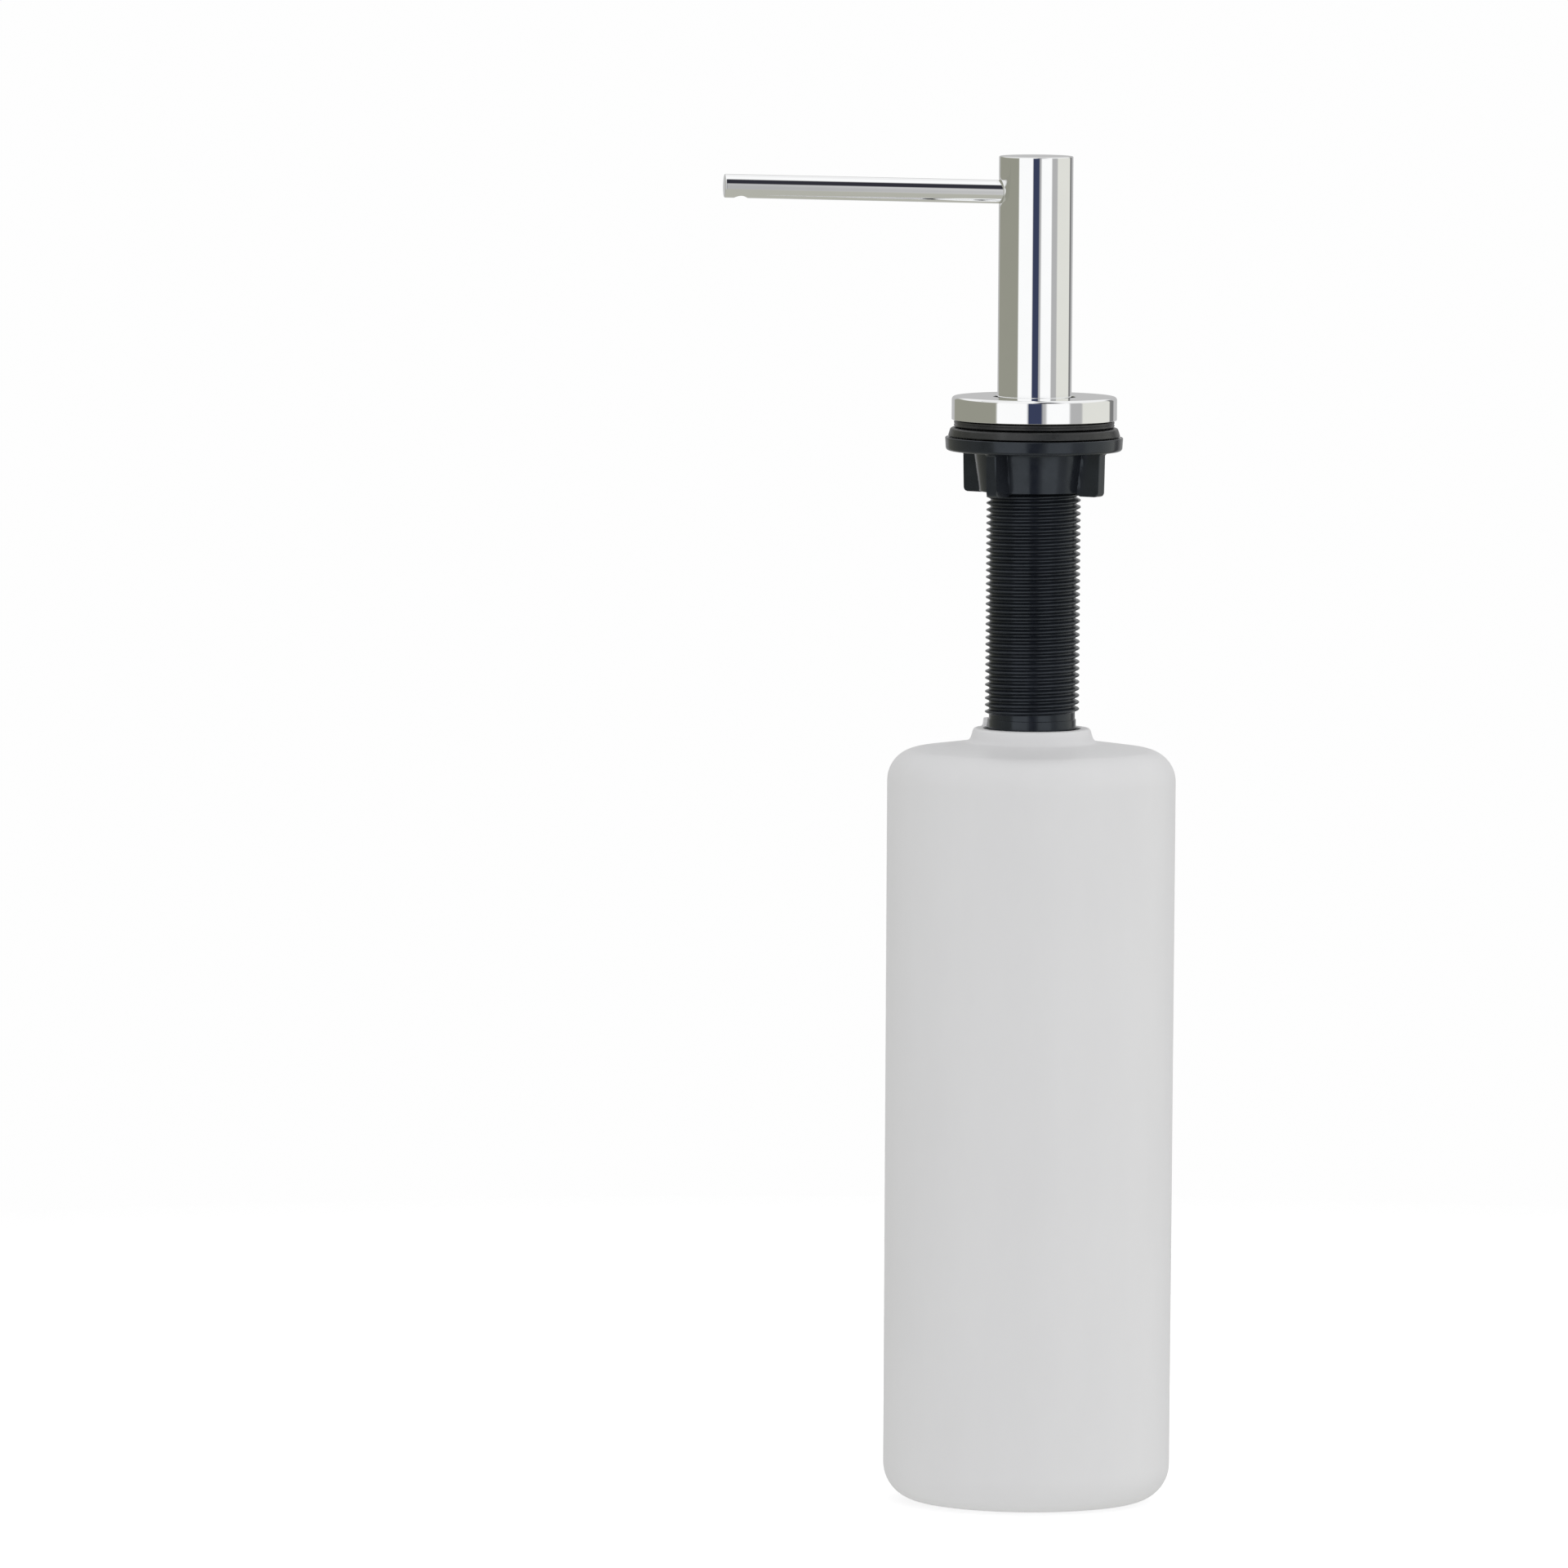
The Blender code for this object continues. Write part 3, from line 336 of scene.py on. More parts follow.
def frosted_plastic(name, color, shade, depth, gloss, shine=0.5):
    """Translucent plastic: flow clouds drawn along its length, a matte skin and tiny pits."""
    material, tree, shader, place = new_finish(name)
    flow = noise(tree, place, 26.0, 5.0, 0.55, (1.0, 1.0, 0.35))
    clouds = remap(tree, flow, 0.3, 0.7, 0.0, 1.0)
    tree.links.new(blend_colors(tree, clouds, shade, color), shader.inputs["Base Color"])
    skin = remap(tree, noise(tree, place, 900.0, 5.0, 0.6), 0.3, 0.7, gloss - 0.04, gloss + 0.05)
    tree.links.new(skin, shader.inputs["Roughness"])
    shader.inputs["Specular IOR Level"].default_value = shine
    shader.inputs["Subsurface Weight"].default_value = 0.2
    shader.inputs["Subsurface Radius"].default_value = (1.0, 1.0, 1.0)
    shader.inputs["Subsurface Scale"].default_value = depth
    under = bump(tree, shader, noise(tree, place, 1500.0, 3.0), 0.004 * MM)
    bump(tree, shader, noise(tree, place, 45.0, 3.0), 0.05 * MM, 0.5, under)
    return material


def drawn_steel(name, tint):
    """Bright steel with fine scratches along its turns."""
    material, tree, shader, place = new_finish(name)
    cloud = noise(tree, place, 500.0, 4.0)
    deeper = tuple(channel * 0.8 for channel in tint)
    tree.links.new(blend_colors(tree, cloud, deeper, tint), shader.inputs["Base Color"])
    shader.inputs["Metallic"].default_value = 1.0
    scratch = noise(tree, place, 600.0, 4.0, 0.6, (1.0, 1.0, 6.0))
    tree.links.new(remap(tree, scratch, 0.3, 0.7, 0.12, 0.28), shader.inputs["Roughness"])
    bump(tree, shader, scratch, 0.004 * MM)
    return material


# Sizes and colours that a user would change


def length(name, description, default):
    return FloatProperty(
        name=name, description=description, default=default, min=0.0, unit="LENGTH", precision=5
    )


def color(name, description, default):
    return FloatVectorProperty(
        name=name, description=description, default=default, min=0.0, max=1.0, size=3, subtype="COLOR"
    )


def count(name, description, default):
    return IntProperty(name=name, description=description, default=default, min=3)


class ChromeSettings(bpy.types.PropertyGroup):
    head_r: length("Head radius", "Outer radius of the push head", reach("head_body"))
    head_wall: length("Head wall", "Wall of the push head", 1.5 * MM)
    head_edge: length("Head edge", "Rounding of the head's top edge", 0.35 * MM)
    spout_r: length("Spout radius", "Outer radius of the spout", 3.5 * MM)
    spout_bore_r: length("Spout bore radius", "Inner radius of the spout", 2.5 * MM)
    spout_edge: length("Spout edge", "Rounding of the spout's tip", 0.3 * MM)
    recess_r: length("Recess radius", "Countersink round the spout's hole in the head", 4.5 * MM)
    flange_edge: length("Flange edge", "Rounding of the deck flange's top edge", 1.0 * MM)
    tint: color("Plating", "Colour of the plating", (0.93, 0.935, 0.94))
    turns: count("Facets", "Facets round each turned piece", 192)


class ShankSettings(bpy.types.PropertyGroup):
    thread_r: length("Thread radius", "Radius over the thread's crests", 14.0 * MM)
    pitch: length("Pitch", "Rise of the thread in one turn", 2.0 * MM)
    depth: length("Thread depth", "From crest to root", 1.2268 * MM)
    collar_r: length("Collar radius", "Plain collar above the bottle", 13.05 * MM)
    plastic: color("Plastic", "Colour of the shank and the nut", (0.0090, 0.0105, 0.0140))
    rubber: color("Rubber", "Colour of the gasket, washer and seals", (0.016, 0.017, 0.018))
    turns: count("Facets", "Facets round the shank", 96)


class NutSettings(bpy.types.PropertyGroup):
    wings: count("Wings", "Number of wings", 4)
    wing_thickness: length("Wing thickness", "Thickness of each wing", 3.4 * MM)
    wing_tip_r: length("Wing reach", "Radius at the wings' tips", 23.9 * MM)
    wing_corner: length("Wing corner", "Rounding of each wing's lower outer corner", 1.3 * MM)
    hub_top_r: length("Hub top radius", "Radius of the hub under the flange", 17.9 * MM)
    hub_bottom_r: length("Hub bottom radius", "Radius of the hub at its lower end", 16.2 * MM)


class BottleSettings(bpy.types.PropertyGroup):
    wall: length("Wall", "Wall of the blown bottle", 1.3 * MM)
    body_r: length("Body radius", "Radius of the body under its shoulder", reach("bottle"))
    base_r: length("Base radius", "Radius of the body above its base", reach("bottle") - 0.25 * MM)
    neck_r: length("Neck radius", "Outer radius of the neck", 18.3 * MM)
    plastic: color("Plastic", "Colour of the frosted plastic", (0.80, 0.80, 0.81))
    shade: color("Cloud", "Colour of the clouds in the plastic", (0.765, 0.765, 0.775))
    turns: count("Facets", "Facets round the bottle", 224)


class PumpSettings(bpy.types.PropertyGroup):
    tube_wall: length("Tube wall", "Wall of the dip tube", 1.0 * MM)
    pump_wall: length("Pump wall", "Wall of the pump's cylinder", 1.2 * MM)
    wire_r: length("Wire radius", "Radius of the spring's wire", 0.45 * MM)
    coils: count("Coils", "Turns of the spring", 6)
    natural: color("Plastic", "Colour of the unpainted plastic", (0.78, 0.78, 0.75))
    steel: color("Steel", "Colour of the spring and the balls", (0.62, 0.62, 0.60))
    turns: count("Facets", "Facets round each pump piece", 96)


class StageSettings(bpy.types.PropertyGroup):
    distance: length("Camera distance", "From the camera to what it looks at", 4.85)
    lens: FloatProperty(name="Lens", description="Focal length", default=375.0, unit="CAMERA")
    bearing: FloatProperty(
        name="Bearing",
        description="Where the camera stands round the object",
        default=math.radians(-7.0),
        unit="ROTATION",
    )
    elevation: FloatProperty(
        name="Elevation",
        description="Camera's height above level",
        default=math.radians(4.8),
        unit="ROTATION",
    )
    roll: FloatProperty(name="Roll", description="Camera's lean", default=math.radians(0.38), unit="ROTATION")
    light: FloatProperty(name="Light", description="Brightness of the room", default=1.05)
    floor_r: length("Floor radius", "Where the floor has faded out", 0.9)


# Push head and spout

SPOUT_RISE = math.radians(1.2)
SPOUT_START = 4.05 * MM
SPOUT_TIP_WALL = 1.6 * MM
OUTLET_R = 1.5 * MM
OUTLET_FROM_TIP = 5.0 * MM
SPOUT_DROP = 10.8 * MM


def make_head_body(settings, material):
    """Cylinder with a flat top, and a countersunk side hole that the spout goes into."""
    top, bottom = high("head_body"), low("head_body")
    outer, inner = settings.head_r, settings.head_r - settings.head_wall
    ceiling = top - 2.5 * MM
    level = top - SPOUT_DROP + outer * math.tan(SPOUT_RISE)
    fine = 0.12 * MM
    before = outline([(0.0, top), (outer, top, settings.head_edge), (outer, level + 7.0 * MM)], closed=False)
    between = outline(
        [
            (outer, level - 7.0 * MM),
            (outer, bottom, fine),
            (inner, bottom, fine),
            (inner, level - 7.0 * MM),
        ],
        closed=False,
    )
    after = outline([(inner, level + 6.4 * MM), (inner, ceiling, 0.3 * MM), (0.0, ceiling)], closed=False)
    hole_r = settings.spout_r + 0.3 * MM
    flare = settings.recess_r - hole_r
    rims = [
        (settings.recess_r, outer),
        (settings.recess_r - 0.03 * MM, outer - 0.012 * MM),
        (settings.recess_r - 0.09 * MM, outer - 0.06 * MM),
        (hole_r + 0.09 * MM, outer - flare + 0.06 * MM),
        (hole_r + 0.03 * MM, outer - flare - 0.01 * MM),
        (hole_r, outer - flare - 0.1 * MM),
        (hole_r, inner),
    ]
    patches = pierced(before, between, after, outer, inner, level, rims, settings.turns, 16)
    patches = turned_about(patches, Matrix.Rotation(math.pi, 4, "Z"))
    return make_piece("head_tube", patches, material, "head", ["head_body"])


def make_spout(settings, material):
    """Tube with a closed tip and an outlet hole in its underside, laid along the spout's rising axis."""
    tip = (-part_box("spout")[0].x - 0.04 * MM) / math.cos(SPOUT_RISE)
    outer, inner, edge = settings.spout_r, settings.spout_bore_r, settings.spout_edge
    level = tip - OUTLET_FROM_TIP
    blind = tip - SPOUT_TIP_WALL
    face = 0.12 * MM
    before = outline(
        [
            (0.0, tip),
            (outer * 0.7, tip - face * 0.3),
            (outer, tip - face, edge),
            (outer, level + 2.6 * MM),
        ],
        closed=False,
    )
    between = outline(
        [
            (outer, level - 2.7 * MM),
            (outer, SPOUT_START, 0.1 * MM),
            (inner, SPOUT_START, 0.1 * MM),
            (inner, level - 2.7 * MM),
        ],
        closed=False,
    )
    after = outline([(inner, level + 2.6 * MM), (inner, blind, 0.2 * MM), (0.0, blind)], closed=False)
    rims = [
        (OUTLET_R + 0.62 * MM, outer),
        (OUTLET_R + 0.55 * MM, outer - 0.05 * MM),
        (OUTLET_R + 0.06 * MM, outer - 0.42 * MM),
        (OUTLET_R, outer - 0.52 * MM),
        (OUTLET_R, inner),
    ]
    patches = pierced(before, between, after, outer, inner, level, rims, 96, 10)
    along = Vector((-math.cos(SPOUT_RISE), 0.0, math.sin(SPOUT_RISE)))
    down = Vector((-math.sin(SPOUT_RISE), 0.0, -math.cos(SPOUT_RISE)))
    side = along.cross(down)
    place = Matrix((down, side, along)).transposed().to_4x4()
    place.translation = (0.0, 0.0, high("head_body") - SPOUT_DROP)
    return make_piece("spout_tube", turned_about(patches, place), material, "head", ["spout"])


def make_ball(name, node, body, material):
    """A ball: a half circle carried round Z."""
    lowest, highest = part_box(node)
    radius, middle = (highest.z - lowest.z) / 2, (highest.z + lowest.z) / 2
    angle = np.linspace(0.0, math.pi, 33)
    profile = np.stack([radius * np.sin(angle), middle + radius * np.cos(angle)], axis=1)
    profile[[0, -1], 0] = 0.0
    return make_piece(name, [spun(profile, 48, closed=False)], material, body, [node])


# Deck flange and gasket


def make_deck_flange(settings, material):
    """Chrome cover: a ring with a rounded rim, open below, and a hole that the head moves in."""
    top, bottom, outer = high("escutcheon"), low("escutcheon"), reach("escutcheon")
    hole, wall, plate = settings.head_r + 1.35 * MM, 1.1 * MM, 1.8 * MM
    corners = [
        (hole, top, 0.3 * MM),
        (outer, top, settings.flange_edge),
        (outer, bottom, 0.2 * MM),
        (outer - wall, bottom, 0.2 * MM),
        (outer - wall, top - plate, 0.3 * MM),
        (hole, top - plate, 0.2 * MM),
    ]
    patches = [spun(outline(corners, steps=10), settings.turns)]
    return make_piece("deck_flange", patches, material, "mount", ["escutcheon"])


def make_deck_gasket(material):
    """Flat rubber ring with soft edges and a groove round its rim."""
    top, bottom, outer = high("deck_gasket"), low("deck_gasket"), reach("deck_gasket")
    inner, middle = THREAD_BORE_R, (top + bottom) / 2
    corners = [
        (inner, top, 0.2 * MM),
        (outer, top, 0.35 * MM),
        (outer, middle + 0.2 * MM, 0.15 * MM),
        (outer - 0.25 * MM, middle, 0.15 * MM),
        (outer, middle - 0.2 * MM, 0.15 * MM),
        (outer, bottom, 0.35 * MM),
        (inner, bottom, 0.2 * MM),
    ]
    patches = [spun(outline(corners, steps=5, hold=0.1 * MM), 160)]
    return make_piece("gasket_ring", patches, material, "mount", ["deck_gasket"])


# Threaded shank

TOOTH_PHASE = np.array([0.0, 0.06, 0.10, 0.15, 0.35, 0.40, 0.45, 0.55, 0.60, 0.65, 0.85, 0.90, 0.94, 1.0])
TOOTH_HEIGHT = np.array([0.0, 0.0, 0.03, 0.12, 0.84, 0.95, 1.0, 1.0, 0.95, 0.84, 0.12, 0.03, 0.0, 0.0])


def thread(root_r, depth, pitch, bottom, turns, count):
    """A right-hand thread that runs out at both ends, on a cylinder turns * pitch high.

    Point (a, p): angle a counted on over all turns, p the share of one pitch across the tooth. The height is
    bottom + pitch * (a / full turn + p), the radius is root + depth * tooth(p), faded over half a turn.
    """
    steps = (turns - 1) * count
    station = np.arange(steps + 1)
    fade = np.clip(np.minimum(station, steps - station) / (count * 0.5), 0.0, 1.0)
    fade = fade * fade * (3 - 2 * fade)
    radius = root_r + depth * fade[:, None] * TOOTH_HEIGHT
    height = bottom + pitch * (station[:, None] / count + TOOTH_PHASE)
    angle = station[:, None] * TAU / count
    helix = np.stack([radius * np.cos(angle), radius * np.sin(angle), height], axis=-1)
    ring = np.arange(count + 1)[:, None]
    rise = pitch * ring / count
    turn = ring * TAU / count
    start = rise * TOOTH_PHASE + bottom
    end = bottom + pitch * (turns - 1) + rise + (pitch - rise) * TOOTH_PHASE
    level_ends = []
    for height in (start, end):
        flat = np.stack(
            [root_r * np.cos(turn) + 0 * height, root_r * np.sin(turn) + 0 * height, height], axis=-1
        )
        level_ends.append(flat)
    # Heights rise along p, so each grid is turned end for end to face outwards
    return [(grid[:, ::-1], False, False, None) for grid in (helix, *level_ends)]


def make_shank(settings, chrome_settings, material):
    """Top flange and counterbore, the deck thread, a plain collar and the bottle thread, bored through."""
    top, bottom, flange_r = high("shank"), low("shank"), reach("shank")
    seat = low("escutcheon")
    root = settings.thread_r - settings.depth
    counterbore = chrome_settings.head_r + 0.7 * MM
    bore, ledge = counterbore - 1.3 * MM, low("pump_gasket") - 0.3 * MM
    pitch = settings.pitch
    collar_top, collar_bottom = seat - 88.75 * MM, seat - 92.25 * MM
    deck_turns = int((seat - collar_top) / pitch)
    bottle_turns = int((collar_bottom - bottom) / pitch)
    bottle_start = collar_bottom - 0.5 * MM - bottle_turns * pitch
    upper = outline(
        [
            (bore, bottom, 0.3 * MM),
            (bore, ledge, 0.15 * MM),
            (counterbore, ledge, 0.15 * MM),
            (counterbore, top, 0.3 * MM),
            (flange_r, top, 0.4 * MM),
            (flange_r, seat, 0.3 * MM),
            (root, seat, 0.1 * MM),
            (root, collar_top + deck_turns * pitch),
            (root - 0.5 * MM, collar_top),
        ]
    )
    at_thread = int(np.argmin(np.abs(upper - (root, collar_top + deck_turns * pitch)).sum(axis=1)))
    upper = upper[: at_thread + 1]
    collar = outline(
        [
            (root, collar_top),
            (root, collar_top - 0.12 * MM),
            (settings.collar_r, collar_top - 0.25 * MM, 0.1 * MM),
            (settings.collar_r, collar_bottom + 0.35 * MM, 0.25 * MM),
            (root - 0.25 * MM, collar_bottom, 0.1 * MM),
            (root, collar_bottom - 0.3 * MM),
            (root, bottle_start + bottle_turns * pitch),
        ],
        closed=False,
        hold=0.05 * MM,
    )
    lower = outline(
        [(root, bottle_start), (root, bottom, 0.25 * MM), (bore + 0.3 * MM, bottom)],
        closed=False,
        hold=0.05 * MM,
    )
    closing = np.array([lower[-1], upper[0]])
    patches = [spun(part, settings.turns, closed=False) for part in (upper, collar, lower, closing)]
    patches += thread(root, settings.depth, pitch, collar_top, deck_turns, settings.turns)
    patches += thread(root, settings.depth, pitch, bottle_start, bottle_turns, settings.turns)
    return make_piece("threaded_shank", patches, material, "mount", ["shank"], sharp=50.0)


# Washer and wing nut


def make_clamp_washer(material):
    """Rubber washer, wider below, with a soft upper edge."""
    top, bottom = high("clamp_washer"), low("clamp_washer")
    outer, inner = reach("clamp_washer"), THREAD_BORE_R
    corners = [
        (inner, top, 0.2 * MM),
        (outer - 0.75 * MM, top, 0.9 * MM),
        (outer, bottom, 0.25 * MM),
        (inner, bottom, 0.2 * MM),
    ]
    patches = [spun(outline(corners), 160)]
    return make_piece("washer_ring", patches, material, "clamp", ["clamp_washer"])


def soft_max(first, second, soften):
    """The larger of two values, with a fillet of about this size where they cross."""
    gap = np.clip(0.5 + (first - second) / (2 * soften), 0.0, 1.0)
    return second + (first - second) * gap + soften * gap * (1 - gap)


# Columns over a wing's flank: their span in hub half angles, the radians taken off it, and their crowding
FLANK_SPAN = 1.45
FLANK_TRIM = 0.071
FLANK_CROWDING = 1.4


def make_wing_nut(settings, material):
    """Round flange over a tapered hub with upright wings.

    For each angle a the skin is one path in (r, z). Below the flange its radius is the larger of the hub's and
    the wing's, which is the smaller of tip / cos a and half thickness / sin a about the wing's middle.
    """
    top, bottom = high("wing_nut"), low("wing_nut")
    flange_r, flange_bottom = reach("wing_nut"), top - 4.0 * MM
    hub_bottom, bore = bottom + 1.0 * MM, THREAD_BORE_R
    half = settings.wing_thickness / 2
    tip_edge = math.asin(half / settings.wing_tip_r)
    flank_width = math.asin(half / settings.hub_bottom_r) * FLANK_SPAN - FLANK_TRIM
    flank = tip_edge + flank_width * np.linspace(0.0, 1.0, 17) ** FLANK_CROWDING
    tip = np.linspace(0.0, flank[0], 6)[:-1]
    between = np.linspace(flank[-1], math.pi / settings.wings, 12)[1:]
    quarter = np.concatenate([tip, flank, between])
    offset = np.concatenate([-quarter[:0:-1], quarter[:-1]])
    angle = (np.arange(settings.wings)[:, None] * TAU / settings.wings + offset).ravel() + math.radians(50.0)
    offset = np.tile(offset, settings.wings)[:, None]
    # Rows down the skin, close together at the flange and at the wings' lower corners
    drop = np.concatenate([np.linspace(0.0, 0.8, 7), np.linspace(2.0, 10.0, 5), np.linspace(10.6, 11.9, 9)])
    drop = drop * MM
    hub_radii = [settings.hub_top_r, settings.hub_bottom_r]
    hub = np.interp(drop, [0.0, flange_bottom - hub_bottom], hub_radii)[None, :]
    fillet = 0.8 * MM
    root_fillet = fillet * np.clip(1 - drop / fillet, 0.0, 1.0) ** 2
    lower = np.clip((drop + 1.0 * MM * drop / drop[-1] - 11.6 * MM) / settings.wing_corner, 0.0, 1.0)
    corner = settings.wing_corner * (1 - np.sqrt(1 - lower**2))
    lean = 0.4 * MM * drop / drop[-1]
    reach_out = (settings.wing_tip_r - lean - corner)[None, :] / np.cos(offset)
    side = half / np.maximum(np.abs(np.sin(offset)), 1e-4)
    wing = -soft_max(-reach_out, -side, 0.35 * MM)
    skin = soft_max(wing, hub, 0.55 * MM) + root_fillet
    depth = np.clip((wing - hub) / (1.0 * MM), 0.0, 1.0)
    level = flange_bottom - drop[None, :] - depth * (hub_bottom - bottom) * drop / drop[-1]
    upper = outline(
        [
            (bore, top - 5.0 * MM),
            (bore, top, 0.25 * MM),
            (flange_r, top, 0.3 * MM),
            (flange_r - 0.25 * MM, flange_bottom, 1.0 * MM),
            (settings.wing_tip_r + 0.9 * MM, flange_bottom),
        ],
        closed=False,
    )
    rows = np.ones((len(angle), 1))
    last_r, last_z = skin[:, -1:], level[:, -1:]
    round_edge = 0.25 * MM
    sag = round_edge * 0.6
    inner_r = [last_r - round_edge, rows * (bore + settings.hub_bottom_r) / 2, rows * bore]
    inner_z = [np.maximum(last_z - sag, bottom), rows * hub_bottom - sag, rows * hub_bottom]
    radius = np.concatenate([rows * upper[:, 0], skin, *inner_r], axis=1)
    height = np.concatenate([rows * upper[:, 1], level, *inner_z], axis=1)
    turn = angle[:, None]
    points = np.stack([radius * np.cos(turn), radius * np.sin(turn), height], axis=-1)
    patches = [(points, True, True, None)]
    return make_piece("winged_nut", patches, material, "nut", ["wing_nut"], sharp=35.0)


# Bottle

LUG_ANGLE = math.radians(137.0)
LUG_HALF_WIDTH = 2.0 * MM


def smooth_step(value, start, end):
    share = np.clip((value - start) / (end - start), 0.0, 1.0)
    return share * share * (3 - 2 * share)


def make_bottle(settings, material):
    """Blown bottle: body, shoulder and neck as one wall, a sleeve inside the neck and a lug on its rim.

    The wall is a profile carried round Z. The lug raises its height on the rim: lug height times a soft step
    in the distance across the lug, times a soft step in the radius.
    """
    bottom = low("bottle")
    rim = seat_level = low("shank") + 13.9 * MM
    shoulder = rim - 4.1 * MM
    wall, neck, body, base = settings.wall, settings.neck_r, settings.body_r, settings.base_r
    bore, sleeve, ledge_bore = THREAD_BORE_R, 16.2 * MM, 10.9 * MM
    ledge = low("bottle_seal") - 0.3 * MM
    corner = shoulder - 4.2 * MM
    corners = [
        (0.0, bottom + wall + 1.6 * MM),
        (24.0 * MM, bottom + wall + 1.6 * MM, 3.0 * MM),
        (27.2 * MM, bottom + wall, 2.0 * MM),
        (base - wall, bottom + wall, 9.7 * MM),
        (body - wall, corner - wall, 8.2 * MM),
        (body - 7.55 * MM, shoulder - 2.3 * MM - wall, 3.0 * MM),
        (neck + 2.6 * MM, shoulder - wall, 1.0 * MM),
        (sleeve, shoulder - wall, 0.8 * MM),
        (sleeve, ledge - 1.6 * MM, 0.4 * MM),
        (ledge_bore, ledge - 1.6 * MM, 0.3 * MM),
        (ledge_bore, ledge, 0.3 * MM),
        (bore, ledge, 0.2 * MM),
        (bore, seat_level, 0.5 * MM),
        (neck - 1.0 * MM, rim, 1.1 * MM),
        (neck + 0.2 * MM, shoulder, 2.6 * MM),
        (body - 7.55 * MM, shoulder - 2.3 * MM, 6.0 * MM),
        (body, corner, 9.5 * MM),
        (base, bottom, 11.0 * MM),
        (27.2 * MM, bottom, 2.0 * MM),
        (24.0 * MM, bottom + 1.6 * MM, 3.0 * MM),
        (0.0, bottom + 1.6 * MM),
    ]
    profile = outline(corners, closed=False, steps=14, hold=0.4 * MM)
    rim_r = np.linspace(bore + 0.55 * MM, neck - 2.05 * MM, 9)
    on_rim = np.stack([rim_r, np.full_like(rim_r, rim)], axis=1)
    level_with_rim = np.abs(profile[:, 1] - rim) < 1e-7
    flat = level_with_rim & (profile[:, 0] > bore + 0.51 * MM) & (profile[:, 0] < neck - 2.0 * MM)
    before = int(np.argmax(flat)) if flat.any() else int(np.argmax(profile[:, 1] > rim - 1e-7)) + 1
    after = before + int(flat.sum())
    profile = np.concatenate([profile[:before], on_rim, profile[after:]])
    points, wrap_rows, wrap_columns, keep = spun(profile, settings.turns, closed=False)
    radius = np.hypot(points[..., 0], points[..., 1])
    turn = np.arctan2(points[..., 1], points[..., 0]) - LUG_ANGLE
    across = np.abs(radius * np.sin(turn)) + 10.0 * (np.cos(turn) < 0)
    mask = smooth_step(across, LUG_HALF_WIDTH + 0.35 * MM, LUG_HALF_WIDTH - 0.15 * MM)
    mask = mask * smooth_step(radius, bore + 0.25 * MM, bore + 0.6 * MM)
    mask = mask * smooth_step(radius, bore + 2.55 * MM, bore + 2.1 * MM)
    points[..., 2] += mask * (points[..., 2] > rim - 1e-6) * 2.4 * MM
    patches = [(points, wrap_rows, wrap_columns, keep)]
    return make_piece("blown_bottle", patches, material, "bottle", ["bottle"])


def make_plain_ring(name, node, inner, body, material, edge=0.2 * MM, count=96):
    """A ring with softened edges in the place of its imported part."""
    top, bottom, outer = high(node), low(node), reach(node)
    corners = [(inner, top, edge), (outer, top, edge), (outer, bottom, edge), (inner, bottom, edge)]
    return make_piece(name, [spun(outline(corners, steps=5), count)], material, body, [node])


# Pump


def make_pump_housing(settings, material):
    """Flanged cylinder that narrows to a conical ball seat and a socket for the dip tube."""
    top, bottom, flange_r = high("pump_housing"), low("pump_housing"), reach("pump_housing")
    bore, wall = 7.0 * MM, settings.pump_wall
    floor = low("ball_cage") - 0.3 * MM
    chamber = floor - 6.0 * MM
    seat = chamber - 1.6 * MM
    hole = reach("dip_tube") + 0.3 * MM
    socket = hole + wall
    corners = [
        (bore, top, 0.2 * MM),
        (flange_r, top, 0.3 * MM),
        (flange_r, top - 1.8 * MM, 0.3 * MM),
        (bore + wall, top - 1.8 * MM, 0.3 * MM),
        (bore + wall, floor - wall, 0.6 * MM),
        (socket, floor - wall - (bore + wall - socket), 0.6 * MM),
        (socket, bottom, 0.3 * MM),
        (hole, bottom, 0.3 * MM),
        (hole, seat - 1.3 * MM, 0.2 * MM),
        (1.8 * MM, seat - 1.3 * MM, 0.2 * MM),
        (1.8 * MM, seat, 0.2 * MM),
        (3.4 * MM, chamber, 0.2 * MM),
        (3.4 * MM, floor, 0.2 * MM),
        (bore, floor, 0.2 * MM),
    ]
    patches = [spun(outline(corners, steps=5), settings.turns)]
    return make_piece("pump_cylinder", patches, material, "pump", ["pump_housing"])


def make_pump_collar(settings, material):
    """Stem guide: a cap on the pump's flange with a plug down into its bore."""
    top, bottom, outer = high("pump_collar"), low("pump_collar"), reach("pump_collar")
    hole, plug, under = 4.3 * MM, 6.7 * MM, high("pump_housing") + 0.3 * MM
    corners = [
        (hole, top, 0.4 * MM),
        (outer, top, 0.5 * MM),
        (outer, under, 0.2 * MM),
        (plug, under, 0.2 * MM),
        (plug, bottom, 0.5 * MM),
        (hole, bottom, 0.2 * MM),
    ]
    patches = [spun(outline(corners, steps=6), settings.turns)]
    return make_piece("stem_guide", patches, material, "pump", ["pump_collar"])


